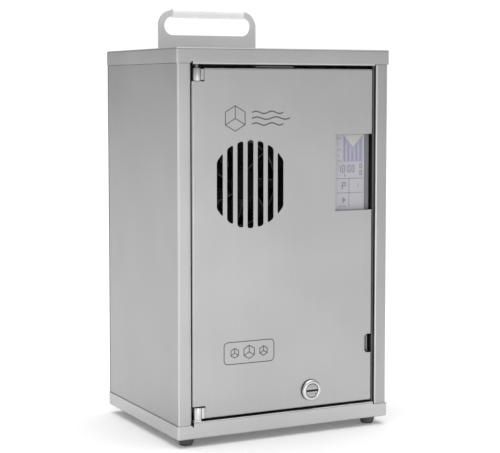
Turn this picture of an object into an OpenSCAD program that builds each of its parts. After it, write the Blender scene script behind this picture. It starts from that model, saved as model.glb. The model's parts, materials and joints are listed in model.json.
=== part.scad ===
// Free-standing dry salt generator cabinet.
// A folded steel case holds a salt hopper, a feed screw, a mill and a fan behind a hinged, locking door.
// Origin: middle of the bounding box on the floor. The door faces -Y, +X is to the right, +Z is up.

/* [Cabinet] */
// Width over the side panels
body_w = 311; // [290:1:375]
// Depth over the side panels
body_d = 237; // [225:1:285]
// Height from the underside of the tray to the top of the cap
body_h = 500; // [490:1:600]
// Thickness of the cabinet sheet
sheet = 1.5; // [1:0.1:2]
// Outer radius of the sheet bends
bend_r = 2.5; // [2.2:0.1:4]
// Height of the cap's skirt
cap_skirt = 19.5; // [16:0.5:24]
// Height of the tray's skirt
tray_skirt = 18; // [15:0.5:20]
// Width of the front pillars
pillar_w = 18.5; // [15:0.5:24]
// Depth of the lips on the pillars
pillar_lip = 12.5; // [10:0.5:16]
// Width of the rear flanges of the side panels
rear_flange = 15; // [12:0.5:20]
// Drop of the header below the top of the cap
header_drop = 21.5; // [20:0.5:26]
// Rise of the sill above the underside of the tray
sill_rise = 22; // [20:0.5:26]
// Depth of the header and sill flanges
rail_depth = 16; // [15:0.5:20]

/* [Feet and handle] */
// Height of the rubber feet
foot_h = 11; // [8:0.5:20]
// Radius of a foot at the tray
foot_r = 12; // [10:0.5:15]
// Distance of a foot's centre from the tray's edges
foot_inset = 20; // [17:0.5:40]
// Distance of a rear foot's centre from the tray's sides
rear_foot_inset = 35; // [17:0.5:45]
// Width of the handle plate
handle_w = 155; // [140:1:180]
// Rise of the handle plate above the cap
handle_rise = 60; // [50:1:80]
// Thickness of the handle plate
handle_t = 3; // [2.5:0.5:3]
// Width of the ring of plate round the hand opening
handle_ring = 8.8; // [7:0.1:11]
// Height of the hand opening
handle_open_h = 26.7; // [22:0.1:32]
// Length of the grip
grip_l = 113; // [90:1:118]
// Radius of the grip
grip_r = 6.9; // [6:0.1:8]

/* [Door] */
// Gap at the hinge side of the door
gap_hinge = 1.1; // [1.1:0.1:3]
// Gap at the lock side of the door
gap_lock = 5; // [3.5:0.1:6]
// Gap above the door
gap_top = 4; // [3:0.1:5]
// Gap below the door
gap_low = 2.5; // [2:0.1:4]
// Depth of the door's folded edges
door_return = 12; // [9:0.5:13]
// Distance of the grille's centre from the door's hinge edge
grille_in = 83.2; // [78:0.1:95]
// Distance of the grille's centre below the door's top edge
grille_drop = 149.4; // [120:0.1:170]
// Radius of the circle that the slots fill
grille_r = 57; // [45:0.5:57.5]
// Width of a slot
slot_w = 8.2; // [6:0.1:10]
// Distance between slots
slot_pitch = 14.67; // [12:0.01:16]
// Width of the display window, open at the door's lock edge
window_w = 57.5; // [50:0.5:60]
// Height of the display window
window_h = 102.3; // [95:0.1:110]
// Distance of the window's top below the door's top edge
window_drop = 86.8; // [60:0.5:120]
// Height of the finger pull
pull_h = 27.5; // [24:0.5:32]
// Radius of the finger pull's scoop
pull_r = 11; // [9:0.5:11]
// Height of the finger pull's centre above the door's lower edge
pull_up = 78.8; // [60:0.1:120]
// Radius of the hinge pins
pin_r = 3; // [2.5:0.1:3.5]
// Radius of the hinge barrels
barrel_r = 6; // [5.2:0.1:6.5]
// Height of the hinge barrels
barrel_h = 16; // [14:0.5:20]
// Radial running clearance of pins and shafts
running_fit = 0.05; // [0.02:0.01:0.09]

/* [Lock] */
// Distance of the lock from the door's lock edge
lock_in = 94.5; // [60:0.1:110]
// Height of the lock above the door's lower edge
lock_up = 22.7; // [21:0.1:26]
// Radius of the lock's bezel
bezel_r = 14.2; // [13:0.1:16]
// Rise of the bezel above the door
bezel_rise = 4.5; // [4:0.1:5]
// Reach of the cam from the lock's axis
cam_reach = 32; // [28:0.5:36]

/* [Fan and display] */
// Side of the square fan frame
fan_side = 120; // [119:0.5:130]
// Depth of the fan frame
fan_depth = 25; // [20:0.5:32]
// Number of fan blades
fan_blades = 7; // [5:1:9]
// Width of the display's front glass
glass_w = 46; // [36:0.5:47]

/* [Salt feed and mill] */
// Height of the shelf above the tray's floor
shelf_h = 167.5; // [150:0.5:200]
// Outer radius of the mill bowl
mill_r = 50; // [42:0.5:54]
// Height of the mill bowl
mill_h = 40; // [34:0.5:50]
// Radius of the mill motor
motor_r = 31; // [26:0.5:34]
// Length of the mill motor
motor_l = 88; // [70:1:100]
// Outer radius of the feed tube
feed_r = 18; // [16:0.5:20]
// Outer width of the hopper
hopper_w = 112; // [90:1:120]
// Outer depth of the hopper
hopper_d = 100; // [80:1:110]
// Opening angle of the hopper lid, which sets the room above it
lid_angle = 60; // [45:1:65]

/* [Hidden] */
$fn = 64;
eps = 1;

// Colours
steel = "#b9b9b9";
steel_light = "#c9c9c9";
steel_dark = "#8f8f8f";
chrome = "#dedede";
rubber = "#3a3a3c";
black = "#1d1d1f";
plastic_grey = "#a9a9b0";
lilac = "#c6c4d6";
white = "#f2f2f0";

// Cabinet planes
side_x = body_w / 2;
front_proud = bezel_rise;
rear_proud = sheet + handle_t / 2 + grip_r;
mid_y = (front_proud - rear_proud) / 2;
front_y = mid_y - body_d / 2;
rear_y = mid_y + body_d / 2;
floor_z = foot_h + sheet;
cab_top = foot_h + body_h;
ceiling_z = cab_top - sheet;
cap_w = body_w + 2 * sheet;
cap_d = body_d + 2 * sheet;
inner_x = side_x - sheet;
inner_r = bend_r - sheet;
cap_edge_z = cab_top - cap_skirt;
tray_edge_z = foot_h + tray_skirt;
pillar_x = side_x - pillar_w;
head_z = cab_top - header_drop;
sill_z = foot_h + sill_rise;
notch_w = 2.5;
notch_h = 2;
hinge_in = 9.5;
rail_x = pillar_x - notch_w;
rail_rear_y = front_y - sheet + rail_depth;
sill_lip_h = 13;
lip_step_in = 5;
lip_step = 2.3;

// Door planes
door_l = -pillar_x + gap_hinge;
door_r = pillar_x - gap_lock;
door_b = sill_z + gap_low;
door_t = head_z - gap_top;
door_w = door_r - door_l;
door_h = door_t - door_b;
skin_y = front_y + sheet;
fold_y = front_y + door_return;
hinge_x = -pillar_x + hinge_in;
hinge_y = front_y + 4.5;
barrel_cut_x = hinge_x + 9.5;
barrel_cut_h = barrel_h + 2;
leaf_l = 24;
leaf_t = 2.5;
pin_plate_t = 3;
pin_plate_w = 15;
pin_plate_dx = 1.5;
pin_end_gap = 2;
washer_t = 1.7;
barrel_gap = 0.3;
upper_barrel_z = door_t - 0.5 - barrel_h;
lower_barrel_z = sill_z + washer_t + barrel_gap;
pull_x = door_r - 1;
pull_z = door_b + pull_up;
pull_wall = 1;
pull_chamfer = 4;

// Grille and fan
fan_x = door_l + grille_in;
fan_z = door_t - grille_drop;
slots_each_side = 3;
fan_y = front_y + 17.5;
fan_bore_r = 58;
fan_corner_r = 6;
fan_hole = 52.5;
fan_rear_y = fan_y + fan_depth;
duct_front_y = skin_y + 2.5;
duct_flange = 2;
duct_wall = 2;
hub_r = 20;
hub_l = fan_depth - 7;
blade_t = 2;
blade_pitch = 35;
blade_r = fan_bore_r - 2;
stator_t = 3;
shaft_r = 2;
screw_r = 2;
hole_r = 2.2;
nut_play = 0.05;
chassis_y = fan_rear_y;
chassis_rise = 66;
chassis_drop = 134;
chassis_flange = 12;
chassis_slot_in = 20;

// Display
window_x = door_r - window_w;
window_t = door_t - window_drop;
window_b = window_t - window_h;
panel_x0 = window_x - 1.5;
panel_x1 = door_r - 2.5;
panel_margin = 5.5;
panel_y = front_y + 6;
panel_depth = 14;
glass_t = 1.5;
glass_x = window_x + 2;
glass_over = 2;
glass_z = window_b - glass_over;
glass_h = window_h + 2 * glass_over;
housing_wall = 2;
bracket_side = 5;

// Lock
lock_x = door_r - lock_in;
lock_z = door_b + lock_up;
lock_front_y = front_y - bezel_rise;
lock_stem_r = 9.8;
lock_rear_y = front_y + 14;
plug_r = 7.5;
plug_face_r = 9;
plug_face_t = 3;
slot_depth = 1.6;
slot_width = 2.6;
lock_nut_af = 24;
lock_nut_t = 5;
cam_gap = 1;
cam_t = 2;
cam_w = 14;
cam_y = rail_rear_y + cam_gap;
cam_nut_af = 12;
cam_nut_t = 3.5;
cam_neck_r = 4;

// Rear
panel_gap = 0.2;
rear_panel_y = rear_y;
rear_out_y = rear_y + sheet;
vent_rows = 9;
vent_cols = 5;
vent_l = 22;
vent_h = 4;
vent_pitch_x = 26;
vent_pitch_z = 12;
vent_z = tray_edge_z + 296;
cool_rows = 4;
cool_z = tray_edge_z + 36;
cool_x = -(side_x - 60);
panel_screw_x = side_x - 8;
panel_screw_in = 16;
panel_screw_count = 4;
small_screw_r = 1.6;
small_hole_r = 1.75;

// Handle
handle_low = 41;
handle_top = cab_top + handle_rise;
handle_r = 22;
handle_bottom = cab_top - handle_low;
handle_open_w = handle_w - 2 * handle_ring;
handle_open_top = handle_top - handle_ring;
handle_screw_x = handle_w / 2 - 15;
handle_screw_low = 10;
handle_screw_high = 31;
head_r = 4;
head_h = 2;
nut_af = 7;
nut_t = 3.2;

// Mains inlet
inlet_x = side_x - 60.5;
inlet_z = foot_h + 51;
inlet_w = 58;
inlet_h = 46;
inlet_body_w = 50;
inlet_body_h = 40;
inlet_flange_t = 2.4;
inlet_depth = 28;
socket_w = 26;
socket_h = 17;
socket_depth = 15;
socket_dx = -9;
socket_dz = 7;
drawer_h = 9;
drawer_dz = -12;
drawer_depth = 16;
rocker_dx = 17;
rocker_w = 10;
rocker_h = 18;
rocker_r = 9.4;
rocker_gap = 0.4;
rocker_y = rear_out_y - 3;
rocker_tilt = 7;

// Filter
filter_w = 140;
filter_h = 122;
filter_t = 12;
filter_wall = 3;
filter_z = vent_z;

// Salt feed and mill, standing on the shelf
shelf_z = floor_z + shelf_h;
shelf_front_y = front_y + 48.5;
shelf_rear_y = rear_y - 18.5;
shelf_flange = 12;
mill_x = side_x - 140.5;
mill_y = front_y + 113.5;
mill_wall = 4;
mill_base_z = shelf_z + sheet;
mill_top_z = mill_base_z + mill_h;
mill_cover_t = 4;
mill_shaft_r = 4;
mill_boss_r = 11;
port_r = 18;
port_wall = 2;
port_z = mill_base_z + 22;
port_end_x = mill_x - mill_r - 10;
elbow_r = 22;
riser_x = port_end_x - 6 - elbow_r;
riser_top = max(fan_z - 18, port_z + 2 * elbow_r + 5);
outlet_y = chassis_y + 18;
drop_r = 10;
drop_bore_r = 8.5;
drop_gap = 26;
feed_wall = 3;
feed_collar = 4;
feed_z = mill_top_z + mill_cover_t + drop_gap + feed_collar + feed_r;
feed_x0 = mill_x - 14;
feed_x1 = mill_x + 78;
feed_cap_t = 3;
screw_flight_r = feed_r - feed_wall - 1;
screw_core_r = 4;
screw_turns = 5;
throat_x = mill_x + 45;
throat_w = 36;
throat_d = 32;
throat_wall = 3;
throat_z = feed_z + 24;
gearbox_r = 18.5;
gearbox_l = 22;
feed_motor_r = 16;
feed_motor_l = 30;
funnel_h = 56;
hopper_wall = 2;
hopper_z = throat_z + funnel_h;
lid_pivot_back = 4;
lid_room = (hopper_d + lid_pivot_back) * sin(lid_angle) + 8;
hopper_top = ceiling_z - lid_room;
lid_t = 2;
lid_lift = 0.4;
lid_pin_r = 2;
lug_t = 4;
lug_in = 8;
lug_h = 14;
lid_pivot_y = mill_y + hopper_d / 2 + lid_pivot_back;
lid_pivot_z = hopper_top + lid_lift + lid_t / 2;
knob_r = 7;
knob_h = 9;
mill_screw_ring = 22;
mill_screw_count = 3;

// Electronics
supply_w = 98;
supply_d = 108;
supply_h = 38;
supply_x = -(side_x - 10.5);
supply_y = mid_y - supply_d / 2;
board_x = inner_x - 6;
board_t = 1.6;
board_w = 110;
board_h = 90;
board_y = front_y + 60;
board_z = floor_z + 40;
spacer_r = 3;
loom_r = 3;
loom_x = -(inner_x - loom_r);
loom_y = rear_y - 10;
loom_z = floor_z + 20;
loom_start_x = supply_x + 7;
loom_end_x = fan_x - fan_hole;
loom_end_y = chassis_y + chassis_flange + loom_r + 0.5;
loom_top = fan_z - fan_hole + 14;
loom_hole_r = loom_r + 0.2;

// ---------------------------------------------------------------- shared shapes

// Rectangle with round corners, centred
module round_rect(w, d, r) {
  square([w, d - 2 * r], center = true);
  square([w - 2 * r, d], center = true);
  for (sx = [-1, 1], sy = [-1, 1]) translate([sx * (w / 2 - r), sy * (d / 2 - r)]) circle(r);
}

// Slot with round ends along X, centred
module obround(l, h) {
  square([l - h, h], center = true);
  for (sx = [-1, 1]) translate([sx * (l - h) / 2, 0]) circle(h / 2);
}

// Outline with its two upper corners round, standing on the X axis
module lid_profile(w, h, r) {
  translate([-w / 2, 0]) square([w, h - r]);
  translate([-w / 2 + r, 0]) square([w - 2 * r, h]);
  for (sx = [-1, 1]) translate([sx * (w / 2 - r), h - r]) circle(r);
}

// Block standing on z = 0 whose upright and upper edges are round
module folded_block(w, d, h, r) {
  intersection() {
    linear_extrude(h) round_rect(w, d, r);
    rotate([90, 0, 0]) translate([0, 0, -d]) linear_extrude(2 * d) lid_profile(w, h, r);
    rotate([90, 0, 90]) translate([0, 0, -w]) linear_extrude(2 * w) lid_profile(d, h, r);
  }
}

// Pan of folded sheet, open below
module folded_pan(w, d, h) {
  difference() {
    folded_block(w, d, h, bend_r);
    translate([0, 0, -eps])
      folded_block(w - 2 * sheet, d - 2 * sheet, h - sheet + eps, inner_r);
  }
}

// Straight fold along X: a wall that stands up from z = 0 and a flange that runs back from y = 0
module folded_rail(l, wall_h, flange_d) {
  rotate([90, 0, 90]) translate([0, 0, -l / 2]) linear_extrude(l) {
    translate([0, bend_r]) square([sheet, wall_h - bend_r]);
    translate([bend_r, 0]) square([flange_d - bend_r, sheet]);
    intersection() {
      square(bend_r);
      translate([bend_r, bend_r]) difference() {
        circle(bend_r);
        circle(inner_r);
      }
    }
  }
}

// Cylinder along Y from y0 to y1
module rod_y(r, y0, y1) {
  translate([0, y1, 0]) rotate([90, 0, 0]) cylinder(r = r, h = y1 - y0);
}

// Cylinder along X from x0 to x1
module rod_x(r, x0, x1) {
  translate([x0, 0, 0]) rotate([0, 90, 0]) cylinder(r = r, h = x1 - x0);
}

// Hexagonal nut standing on z = 0
module hex_nut(af, t, bore) {
  difference() {
    cylinder(r = af / 2 / cos(30), h = t, $fn = 6);
    translate([0, 0, -eps]) cylinder(r = bore, h = t + 2 * eps, $fn = 48);
  }
}

// Outline of the finger pull, from its axis outwards
module pull_profile(r, h, c) {
  polygon([[0, -h / 2], [r - c, -h / 2], [r, -h / 2 + c], [r, h / 2 - c], [r - c, h / 2], [0, h / 2]]);
}

// Ring of plain pipe along Z
module pipe(r, wall, h) {
  difference() {
    cylinder(r = r, h = h);
    translate([0, 0, -eps]) cylinder(r = r - wall, h = h + 2 * eps);
  }
}

// Places one child at each of the four fan holes
module at_fan_holes() {
  for (sx = [-1, 1], sz = [-1, 1])
    translate([fan_x + sx * fan_hole, 0, fan_z + sz * fan_hole]) children();
}

// Places one child at each handle screw
module at_handle_screws() {
  for (sx = [-1, 1], up = [handle_screw_low, handle_screw_high])
    translate([sx * handle_screw_x, 0, handle_bottom + up]) children();
}

// Places one child at each screw of the rear panel
module at_panel_screws() {
  first = tray_edge_z + panel_screw_in;
  step = (cap_edge_z - tray_edge_z - 2 * panel_screw_in) / (panel_screw_count - 1);
  for (sx = [-1, 1], i = [0 : panel_screw_count - 1])
    translate([sx * panel_screw_x, 0, first + i * step]) children();
}

// Places one child at each screw of the mill
module at_mill_screws() {
  for (i = [0 : mill_screw_count - 1])
    translate([mill_x, mill_y, 0]) rotate([0, 0, 90 + i * 360 / mill_screw_count])
      translate([mill_screw_ring, 0, 0]) children();
}

// ---------------------------------------------------------------- case

// Side panel on the left, folded round its front and rear; its lip is the hinge side of the doorway
module side_panel_shape(step_in, step) {
  h = ceiling_z - floor_z - 2 * inner_r;
  lip_y = front_y + pillar_lip;
  translate([0, 0, floor_z + inner_r]) linear_extrude(h) {
    difference() {
      translate([0, mid_y]) round_rect(body_w, body_d, bend_r);
      translate([0, mid_y]) round_rect(body_w - 2 * sheet, body_d - 2 * sheet, inner_r);
      translate([-pillar_x - bend_r, front_y - eps]) square([body_w, body_d / 2 + 2 * eps]);
      translate([-side_x + rear_flange, mid_y]) square([body_w, body_d]);
    }
    intersection() {
      translate([-pillar_x - bend_r, front_y]) square(bend_r);
      translate([-pillar_x - bend_r, front_y + bend_r]) difference() {
        circle(bend_r);
        circle(inner_r);
      }
    }
    translate([-pillar_x - sheet, front_y + bend_r]) square([sheet, step_in - bend_r]);
    translate([-pillar_x - sheet, front_y + step_in]) square([sheet + step, sheet]);
    translate([-pillar_x - sheet + step, front_y + step_in]) square([sheet, lip_y - front_y - step_in]);
  }
}

module left_side_panel() {
  color(steel_light) difference() {
    side_panel_shape(lip_step_in, 0);
    at_panel_screws() rod_y(small_hole_r, rear_y - 2 * sheet, rear_y + eps);
  }
}

module right_side_panel() {
  color(steel) difference() {
    mirror([1, 0, 0]) side_panel_shape(lip_step_in, lip_step);
    at_panel_screws() rod_y(small_hole_r, rear_y - 2 * sheet, rear_y + eps);
  }
}

module top_cap() {
  color(steel) difference() {
    union() {
      translate([0, mid_y, cap_edge_z]) folded_pan(cap_w, cap_d, cap_skirt);
      translate([0, front_y - sheet, head_z]) folded_rail(2 * rail_x, cap_edge_z - head_z + 3, rail_depth);
    }
    translate([-rail_x - notch_w / 2, front_y - sheet / 2, cap_edge_z])
      cube([notch_w, 2 * sheet, 2 * notch_h], center = true);
    translate([hinge_x, hinge_y, head_z - eps]) cylinder(r = pin_r, h = sheet + 2 * eps);
    at_handle_screws() rod_y(hole_r, rear_y - eps, rear_out_y + eps);
  }
}

module bottom_tray() {
  color(steel) difference() {
    union() {
      translate([0, mid_y, tray_edge_z]) mirror([0, 0, 1]) folded_pan(cap_w, cap_d, tray_skirt);
      translate([0, front_y - sheet, sill_z]) mirror([0, 0, 1])
        folded_rail(2 * rail_x, sill_z - tray_edge_z + 3, rail_depth);
      translate([-rail_x, rail_rear_y - sheet, sill_z - sill_lip_h]) cube([2 * rail_x, sheet, sill_lip_h]);
    }
    translate([-rail_x - notch_w / 2, front_y - sheet / 2, tray_edge_z])
      cube([notch_w, 2 * sheet, 2 * notch_h], center = true);
    translate([hinge_x, hinge_y, sill_z - sheet - eps]) cylinder(r = pin_r, h = sheet + 2 * eps);
    at_feet() translate([0, 0, foot_h - eps]) cylinder(r = hole_r, h = sheet + 2 * eps);
  }
}

module rear_panel() {
  z0 = tray_edge_z + panel_gap;
  z1 = cap_edge_z - panel_gap;
  color(steel) difference() {
    translate([-side_x, rear_panel_y, z0]) cube([body_w, sheet, z1 - z0]);
    for (i = [0 : vent_cols - 1], k = [0 : vent_rows - 1])
      panel_slot((i - (vent_cols - 1) / 2) * vent_pitch_x, vent_z + (k - (vent_rows - 1) / 2) * vent_pitch_z);
    for (i = [-1 : 1], k = [0 : cool_rows - 1])
      panel_slot(cool_x + i * vent_pitch_x, cool_z + (k - (cool_rows - 1) / 2) * vent_pitch_z);
    translate([inlet_x, rear_panel_y - eps, inlet_z])
      rotate([-90, 0, 0]) linear_extrude(sheet + 2 * eps) square([inlet_body_w, inlet_body_h], center = true);
    at_panel_screws() rod_y(small_hole_r, rear_panel_y - eps, rear_out_y + eps);
    at_handle_screws() rod_y(hole_r, rear_panel_y - eps, rear_out_y + eps);
  }
}

// Cut for one vent slot of the rear panel
module panel_slot(x, z) {
  translate([x, rear_out_y + eps, z]) rotate([90, 0, 0])
    linear_extrude(sheet + 2 * eps) obround(vent_l, vent_h);
}

module rear_panel_screws() {
  color(steel_dark) at_panel_screws() difference() {
    union() {
      rod_y(small_screw_r, rear_panel_y - 6, rear_out_y);
      rod_y(3, rear_out_y, rear_out_y + head_h);
    }
    translate([0, rear_out_y + head_h, 0]) cube([3.6, 2, 0.8], center = true);
    translate([0, rear_out_y + head_h, 0]) cube([0.8, 2, 3.6], center = true);
  }
}

// Outline of the handle plate in the XZ plane
module handle_outline() {
  h = handle_top - handle_bottom;
  difference() {
    translate([0, handle_bottom]) lid_profile(handle_w, h, handle_r);
    translate([0, handle_open_top - handle_open_h / 2]) obround(handle_open_w, handle_open_h);
  }
}

// The handle plate before its screw holes are sunk
module handle_blank() {
  translate([0, rear_out_y + handle_t, 0]) rotate([90, 0, 0]) linear_extrude(handle_t) handle_outline();
}

module handle_plate() {
  color(steel) difference() {
    handle_blank();
    at_handle_screws() {
      rod_y(hole_r, rear_out_y - eps, rear_out_y + handle_t + eps);
      translate([0, rear_out_y + handle_t - head_h, 0]) rotate([-90, 0, 0])
        cylinder(r1 = hole_r, r2 = head_r + 0.2, h = head_h);
    }
  }
}

// Round grip over the handle's upper bar, split by the plate that it is pushed onto
module handle_grip() {
  z = handle_top - handle_ring / 2 - 0.1;
  y = rear_out_y + handle_t / 2;
  color(white) difference() {
    translate([0, y, z]) rod_x(grip_r, -grip_l / 2, grip_l / 2);
    handle_blank();
  }
}

module handle_screws() {
  color(steel_dark) at_handle_screws() difference() {
    union() {
      rod_y(screw_r, rear_y - 6, rear_out_y + 1.5);
      translate([0, rear_out_y + handle_t - head_h, 0]) rotate([-90, 0, 0])
        cylinder(r1 = screw_r, r2 = head_r, h = head_h);
    }
    translate([0, rear_out_y + handle_t - 1.2, 0]) rotate([-90, 0, 0]) cylinder(r = 1.5, h = 2, $fn = 6);
  }
}

module handle_nuts() {
  color(steel_dark) at_handle_screws() translate([0, rear_y, 0]) rotate([90, 0, 0])
    hex_nut(nut_af, nut_t, screw_r + nut_play);
}

// Places a child at the foot given by the signs
module at_foot(sx, sy) {
  inset_x = sy > 0 ? rear_foot_inset : foot_inset;
  translate([sx * (cap_w / 2 - inset_x), mid_y + sy * (cap_d / 2 - foot_inset), 0]) children();
}

// Places one child at each foot
module at_feet() {
  for (sx = [-1, 1], sy = [-1, 1]) at_foot(sx, sy) children();
}

// Tapered rubber foot at the corner given by the signs
module foot(sx, sy) {
  color(rubber) at_foot(sx, sy) difference() {
    cylinder(r1 = foot_r - 3.5, r2 = foot_r, h = foot_h);
    translate([0, 0, -eps]) cylinder(r = 4.5, h = 5 + eps);
    cylinder(r = hole_r, h = foot_h + eps);
  }
}

module foot_screws() {
  color(steel_dark) at_feet() {
    translate([0, 0, 3]) cylinder(r = 4, h = 2);
    translate([0, 0, 5]) cylinder(r = screw_r, h = floor_z + 4 - 5);
    translate([0, 0, floor_z]) hex_nut(nut_af, nut_t, screw_r);
  }
}

// ---------------------------------------------------------------- hinges and door

// Pin that hangs from a plate on the header, or, mirrored, stands on the sill
module hinge_pin_shape(length) {
  plate_y = front_y + inner_r - hinge_y;
  plate_d = rail_depth - 2 * sheet - inner_r - panel_gap;
  translate([-pin_plate_w / 2 + pin_plate_dx, plate_y, 0]) cube([pin_plate_w, plate_d, pin_plate_t]);
  translate([0, 0, -length]) cylinder(r = pin_r, h = length + pin_plate_t);
}

module upper_hinge_pin() {
  z = head_z + sheet;
  color(steel_dark) translate([hinge_x, hinge_y, z]) hinge_pin_shape(z - upper_barrel_z - pin_end_gap);
}

module lower_hinge_pin() {
  z = sill_z - sheet;
  color(steel_dark) translate([hinge_x, hinge_y, z]) mirror([0, 0, 1])
    hinge_pin_shape(lower_barrel_z + barrel_h - pin_end_gap - z);
}

module hinge_washer() {
  color(white) translate([hinge_x, hinge_y, sill_z]) difference() {
    cylinder(r = barrel_r - 0.5, h = washer_t);
    translate([0, 0, -eps]) cylinder(r = pin_r + nut_play, h = washer_t + 2 * eps);
  }
}

// Bored barrel with the leaf that is welded behind the door's skin
module hinge_barrel_shape(leaf_z0, leaf_z1, barrel_z) {
  difference() {
    union() {
      translate([hinge_x, hinge_y, barrel_z]) cylinder(r = barrel_r, h = barrel_h);
      translate([hinge_x, skin_y, leaf_z0])
        cube([barrel_cut_x - hinge_x + leaf_l, leaf_t, leaf_z1 - leaf_z0]);
    }
    translate([hinge_x, hinge_y, barrel_z - eps]) cylinder(r = pin_r + running_fit, h = barrel_h + 2 * eps);
  }
}

module upper_hinge_barrel() {
  color(chrome) hinge_barrel_shape(upper_barrel_z, door_t - bend_r, upper_barrel_z);
}

module lower_hinge_barrel() {
  color(chrome) hinge_barrel_shape(door_b + bend_r, lower_barrel_z + barrel_h, lower_barrel_z);
}

module door_panel() {
  mid_x = (door_l + door_r) / 2;
  mid_z = (door_b + door_t) / 2;
  color(steel_light) difference() {
    translate([mid_x, fold_y, mid_z]) rotate([90, 0, 0]) folded_pan(door_w, door_h, door_return);
    translate([fan_x, fold_y, fan_z]) rotate([90, 0, 0]) linear_extrude(2 * door_return) grille_slots();
    translate([window_x, front_y - eps, window_b]) cube([window_w + eps, 2 * door_return, window_h]);
    translate([pull_x, fold_y + eps, pull_z]) rotate([90, 0, 0]) linear_extrude(2 * door_return) {
      mirror([1, 0]) pull_profile(pull_r, pull_h, pull_chamfer);
      translate([-eps, -pull_h / 2]) square([4, pull_h]);
    }
    for (z = [door_b - eps, door_t - barrel_cut_h])
      translate([door_l - eps, front_y - eps, z])
        cube([barrel_cut_x - door_l + eps, 2 * door_return, barrel_cut_h + eps]);
    translate([lock_x, 0, lock_z]) rod_y(lock_stem_r + 0.2, front_y - eps, skin_y + eps);
  }
}

// The upright slots that fill the grille's circle
module grille_slots() {
  intersection() {
    circle(r = grille_r, $fn = 128);
    for (i = [-slots_each_side : slots_each_side])
      translate([i * slot_pitch, 0]) square([slot_w, 2 * grille_r], center = true);
  }
}

// Scoop behind the cut in the door's lock edge
module finger_pull() {
  color(steel) translate([pull_x, front_y, pull_z]) rotate([0, 0, 90])
    rotate_extrude(angle = 90) difference() {
      pull_profile(pull_r, pull_h, pull_chamfer);
      pull_profile(pull_r - pull_wall, pull_h - 2 * pull_wall, pull_chamfer - pull_wall / 2);
    }
}

module lock_body() {
  color(chrome) translate([lock_x, 0, lock_z]) difference() {
    union() {
      rod_y(bezel_r, lock_front_y, front_y);
      rod_y(lock_stem_r, front_y, lock_rear_y);
    }
    rod_y(plug_face_r + 0.1, lock_front_y - eps, lock_front_y + plug_face_t + 0.2);
    rod_y(plug_r + running_fit, lock_front_y, lock_rear_y + eps);
  }
}

module lock_nut() {
  color(steel_dark) translate([lock_x, skin_y, lock_z]) rotate([-90, 0, 0])
    hex_nut(lock_nut_af, lock_nut_t, lock_stem_r + nut_play);
}

// Plug with a slotted face; its neck carries the cam
module lock_plug() {
  color(chrome) translate([lock_x, 0, lock_z]) difference() {
    union() {
      rod_y(plug_face_r, lock_front_y, lock_front_y + plug_face_t);
      rod_y(plug_r, lock_front_y, cam_y);
      rod_y(cam_neck_r, cam_y, cam_y + cam_t + cam_nut_t + 1);
    }
    translate([0, lock_front_y, 0]) cube([2 * plug_face_r - 4, 2 * slot_depth, slot_width], center = true);
  }
}

// Cam, level at rest where the door can open; a quarter turn takes it down behind the sill
module lock_cam() {
  color(steel_dark) translate([lock_x, cam_y, lock_z]) difference() {
    rotate([-90, 0, 0]) linear_extrude(cam_t) {
      circle(cam_w / 2);
      translate([0, -cam_w / 2]) square([cam_reach - 3, cam_w]);
      translate([cam_reach - cam_w / 2, 0]) circle(cam_w / 2);
    }
    rod_y(cam_neck_r + nut_play, -eps, cam_t + eps);
  }
}

module lock_cam_nut() {
  color(steel_dark) translate([lock_x, cam_y + cam_t, lock_z]) rotate([-90, 0, 0])
    hex_nut(cam_nut_af, cam_nut_t, cam_neck_r + nut_play);
}

// ---------------------------------------------------------------- fan and display

module chassis_plate() {
  z0 = fan_z - chassis_drop;
  h = chassis_drop + chassis_rise;
  color(steel_dark) difference() {
    union() {
      translate([-inner_x, chassis_y, z0]) cube([2 * inner_x, sheet, h]);
      for (x = [-inner_x, inner_x - sheet]) translate([x, chassis_y, z0]) cube([sheet, chassis_flange, h]);
    }
    translate([fan_x, 0, fan_z]) rod_y(fan_bore_r - 1, chassis_y - eps, chassis_y + sheet + eps);
    at_fan_holes() rod_y(hole_r, chassis_y - eps, chassis_y + sheet + eps);
    translate([loom_end_x, 0, loom_top]) rod_y(loom_hole_r, chassis_y - eps, chassis_y + sheet + eps);
    translate([panel_x0 + chassis_slot_in, chassis_y - eps, fan_z - chassis_slot_in])
      cube([16, sheet + 2 * eps, 2 * chassis_slot_in]);
  }
}

module fan_frame() {
  color(black) translate([fan_x, 0, fan_z]) difference() {
    union() {
      difference() {
        translate([0, fan_rear_y, 0]) rotate([90, 0, 0]) linear_extrude(fan_depth)
          round_rect(fan_side, fan_side, fan_corner_r);
        rod_y(fan_bore_r, fan_y - eps, fan_rear_y + eps);
      }
      rod_y(hub_r, fan_rear_y - stator_t, fan_rear_y);
      for (a = [45 : 90 : 315]) rotate([0, a, 0]) translate([hub_r - 2, fan_rear_y - stator_t, -2.5])
        cube([fan_bore_r - hub_r + 4, stator_t, 5]);
    }
    rod_y(shaft_r + running_fit, fan_y, fan_rear_y + eps);
    translate([-fan_x, 0, -fan_z]) at_fan_holes() rod_y(hole_r, fan_y - eps, fan_rear_y + eps);
  }
}

// Short round duct that carries the air from the fan to the back of the door's grille
module fan_duct() {
  color(black) difference() {
    union() {
      translate([fan_x, fan_y, fan_z]) rotate([90, 0, 0]) linear_extrude(duct_flange)
        round_rect(fan_side, fan_side, fan_corner_r);
      translate([fan_x, 0, fan_z]) rod_y(fan_bore_r + duct_wall, duct_front_y, fan_y);
    }
    translate([fan_x, 0, fan_z]) rod_y(fan_bore_r, duct_front_y - eps, fan_y + eps);
    at_fan_holes() rod_y(hole_r, fan_y - duct_flange - eps, fan_y + eps);
  }
}

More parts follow.
